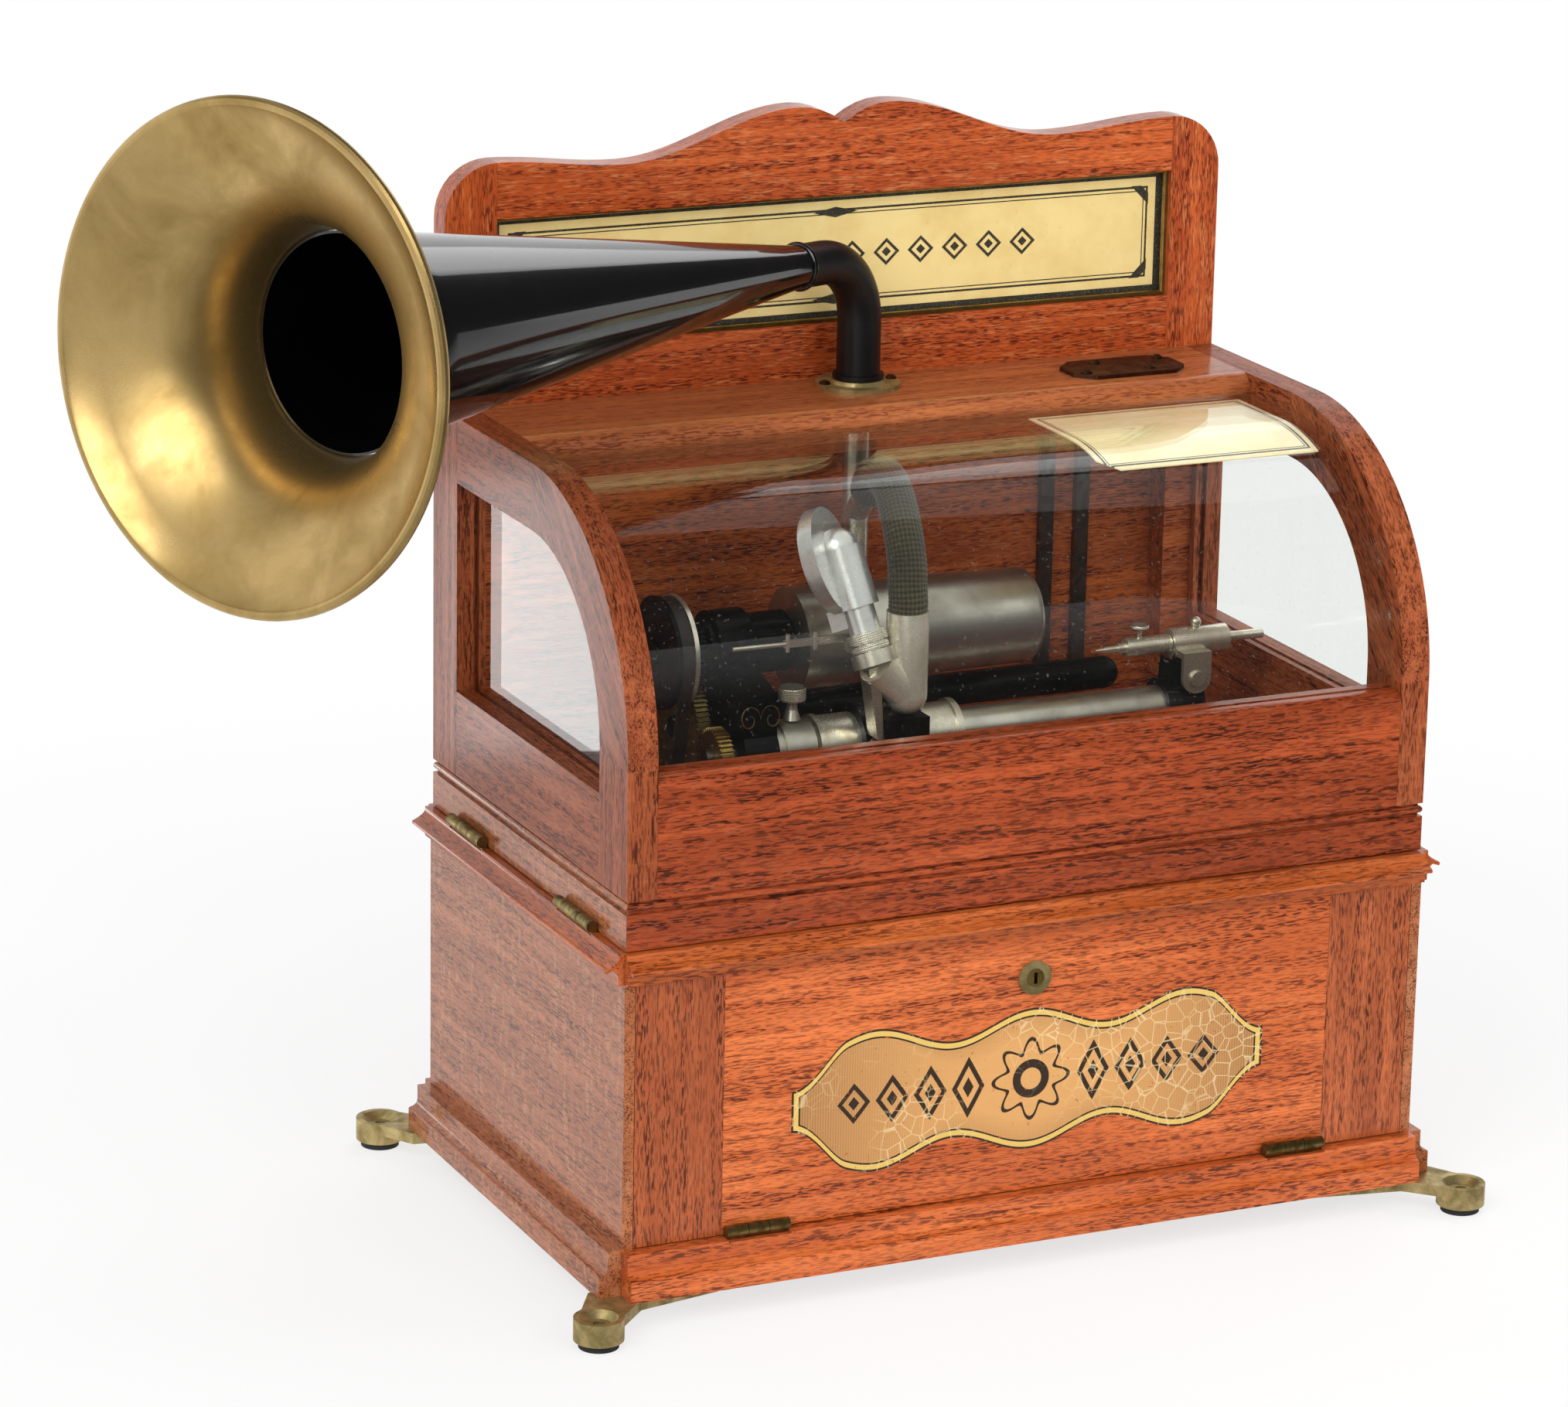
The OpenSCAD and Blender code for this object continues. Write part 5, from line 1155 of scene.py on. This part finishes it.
@dataclass
class SignBoard(Assembly):
    """Scrolled board with its pane, card and gilt slip."""

    window_mm: Pair = (165.0, 29.0)
    middle_mm: float = 400.9
    pane_mm: float = 101.0
    slip_mm: float = 1.7
    slip_gap_mm: Pair = (0.2, 0.05)
    chain_mm: float = 102.0

    def members(self, centres: np.ndarray) -> np.ndarray:
        """Picks 1 for the stiles and 0 for the rails."""
        return np.abs(centres[:, 0]) > self.window_mm[0]

    def rest(self) -> None:
        """Dresses the board and makes its slip: a quarter round carried round the window and mitred."""
        self.dress("sign_frame", "oak_sign_x oak_sign_z", self.members)
        self.paste("sign_card", PrintedCard("printed_sign_card", (0.0, self.middle_mm), self.window_mm,
                                            chain_mm=self.chain_mm))
        beside, before = self.slip_gap_mm
        corners = np.array(((-1, -1), (1, -1), (1, 1), (-1, 1)), float)
        bend = np.linspace(0, math.pi / 2, 7)
        inward = np.concatenate([[0.0], self.slip_mm * np.sin(bend)])
        depth = np.concatenate([[0.0], -self.slip_mm * np.cos(bend)])
        flat = corners[:, None] * (np.array(self.window_mm) - beside - inward[None, :, None])
        deep = np.broadcast_to(self.pane_mm - before + depth, flat.shape[:2])
        points = np.stack([flat[..., 0], deep, self.middle_mm + flat[..., 1]], axis=-1)
        slip = surface("sign_slip", points, self.finishes["cut_brass"], loop_rows=True, loop_columns=True)
        carry(slip, "hood")


@dataclass
class Horn(Assembly):
    """Black cone and elbow with a brass bell."""

    plain = {"spun_brass": "bell", "polished_black_japan": "cone", "dull_black_paint": "elbow"}


@dataclass
class Carriage(Assembly):
    """Sleeve, saddle, arm, ferrule and reproducer, with their knurled nuts and screws."""

    neck_mm: Point = (-38.4, -20.0, 258.1)
    neck_axis: Point = (-0.1719, 0.3686, 0.9136)
    nut_low_mm: float = -3.4
    nuts: tuple[tuple[str, float, float, float], ...] = (("low", 0.0, 8.6, 3.0), ("top", 3.6, 9.0, 4.8))
    nut_teeth: int = 30
    nut_wall_mm: float = 0.9
    knurl_mm: float = 0.4
    saddle_x_mm: Point = (-33.0, -25.6, -17.8)
    saddle_r_mm: float = 17.9
    feed_z_mm: float = 207.8
    screw_rise_mm: float = 3.9
    screw_sunk_mm: float = 0.3
    screw_mm: Pair = (2.6, 1.5)
    slot_turn: float = 35.0
    plain = {
        # The ferrule takes the copy of nickel plate that is painted lighter, as painted light.
        "nickel_plate": "carriage_sleeve carriage_arm trip_bar neck_nuts", "bright_nickel_plate": "ferrule",
        "stoved_black_japan": "saddle", "polished_aluminium": "reproducer_head"}

    def rest(self) -> None:
        """Makes the nuts' knurling and the saddle's screws."""
        axis = np.array(self.neck_axis)
        for end, rise, radius, length in self.nuts:
            base = np.array(self.neck_mm) + axis * (self.nut_low_mm + rise)
            nut = knurl(f"nut_knurl_{end}", base, axis, radius, radius - self.nut_wall_mm, length,
                        self.nut_teeth, self.knurl_mm, self.finishes["nickel_plate"])
            carry(nut, "reproducer")
        fall = math.asin(self.screw_rise_mm / self.saddle_r_mm)
        facing = np.array((0.0, -math.cos(fall), math.sin(fall)))
        for number, x in enumerate(self.saddle_x_mm, start=1):
            base = np.array((x, 0.0, self.feed_z_mm)) + facing * (self.saddle_r_mm - self.screw_sunk_mm)
            screw = slotted_head(f"saddle_screw_{number}", base, facing, *self.screw_mm,
                                 self.slot_turn * number, self.finishes["oiled_steel"])
            carry(screw, "carriage")


@dataclass
class Drive(Assembly):
    """Mandrel, feed screw, motor, crank, stop rod and thumbscrew."""

    screw_mm: Point = (-65.25, 0.0, 230.0)
    stop_mm: Point = (104.7, 0.0, 245.3)
    axis_mm: Pair = (30.0, 248.3)
    rim_mm: float = 23.6
    grip_x_mm: float = 214.4
    plain = {
        "turned_nickelled_brass": "mandrel", "tarnished_rolled_brass": "idler_gear",
        "cut_brass": "feed_gear governor spring_barrel", "oiled_steel": "feed_screw motor_pulley",
        "nickel_plate": "stop_rod bracket_screw"}

    def pulley_rim(self, centres: np.ndarray) -> np.ndarray:
        """Tells the bright right-hand rim of the drive pulley from its black faces.

        Args:
            centres: face centres in millimetres.

        Returns:
            1 for the rim and 0 for the rest.
        """
        reach = np.hypot(centres[:, 1] - self.axis_mm[0], centres[:, 2] - self.axis_mm[1])
        middle = centres[reach > self.rim_mm, 0].mean()
        return (reach > self.rim_mm) & (centres[:, 0] > middle)

    def grip(self, centres: np.ndarray) -> np.ndarray:
        """Picks 1 for the crank's wooden grip and 0 for its iron."""
        return centres[:, 0] > self.grip_x_mm

    def rest(self) -> None:
        """Dresses the pulley and the crank, and knurls the two hand screws."""
        self.dress("drive_pulley", "oiled_black_japan nickel_plate", self.pulley_rim)
        self.dress("winding_crank", "nickel_plate ebonised_wood", self.grip)
        up, nickel = (0, 0, 1), self.finishes["nickel_plate"]
        thumb = knurl("bracket_screw_knurl", self.screw_mm, up, 6.3, 5.4, 6.0, 26, 0.5, nickel)
        carry(thumb, "thumbscrew")
        small = knurl("stop_screw_knurl", self.stop_mm, up, 4.3, 3.5, 1.6, 22, 0.35, nickel)
        carry(small, "stop")


@dataclass
class Door(Assembly):
    """Drop-front door with its cleats, hinges and lock."""

    skin_mm: float = 0.5
    plain = {
        "oak_cleat": "door_cleats", "tarnished_rolled_brass": "door_hinge_flaps",
        "tarnished_cast_brass": "lock_barrel", "cut_brass": "lock_cam"}

    def rest(self) -> None:
        """Dresses the panel, with the transfer on its outer face alone."""
        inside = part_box("door_panel")[0][1] / MM + self.skin_mm
        self.dress("door_panel", "crazed_transfer_on_oak oak_front_x", lambda centres: centres[:, 1] > inside)


def main() -> None:
    """Builds the studio, the hose and then each sub-assembly."""
    logging.basicConfig(level=logging.INFO, format="%(name)s: %(message)s")
    studio = Studio()
    studio.camera()
    finishes = all_finishes()
    SpeakingTube(finishes).build()
    studio.light()
    studio.floor()
    for kind in (Cabinet, CastingScroll, Hood, SignBoard, Horn, Carriage, Drive, Door):
        kind(finishes).build()
    boxes = {"cad": CAD_BOX, "visual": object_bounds()}
    {key: [[float(x) for x in corner] for corner in box] for key, box in boxes.items()}


if __name__ == "__main__":
    main()
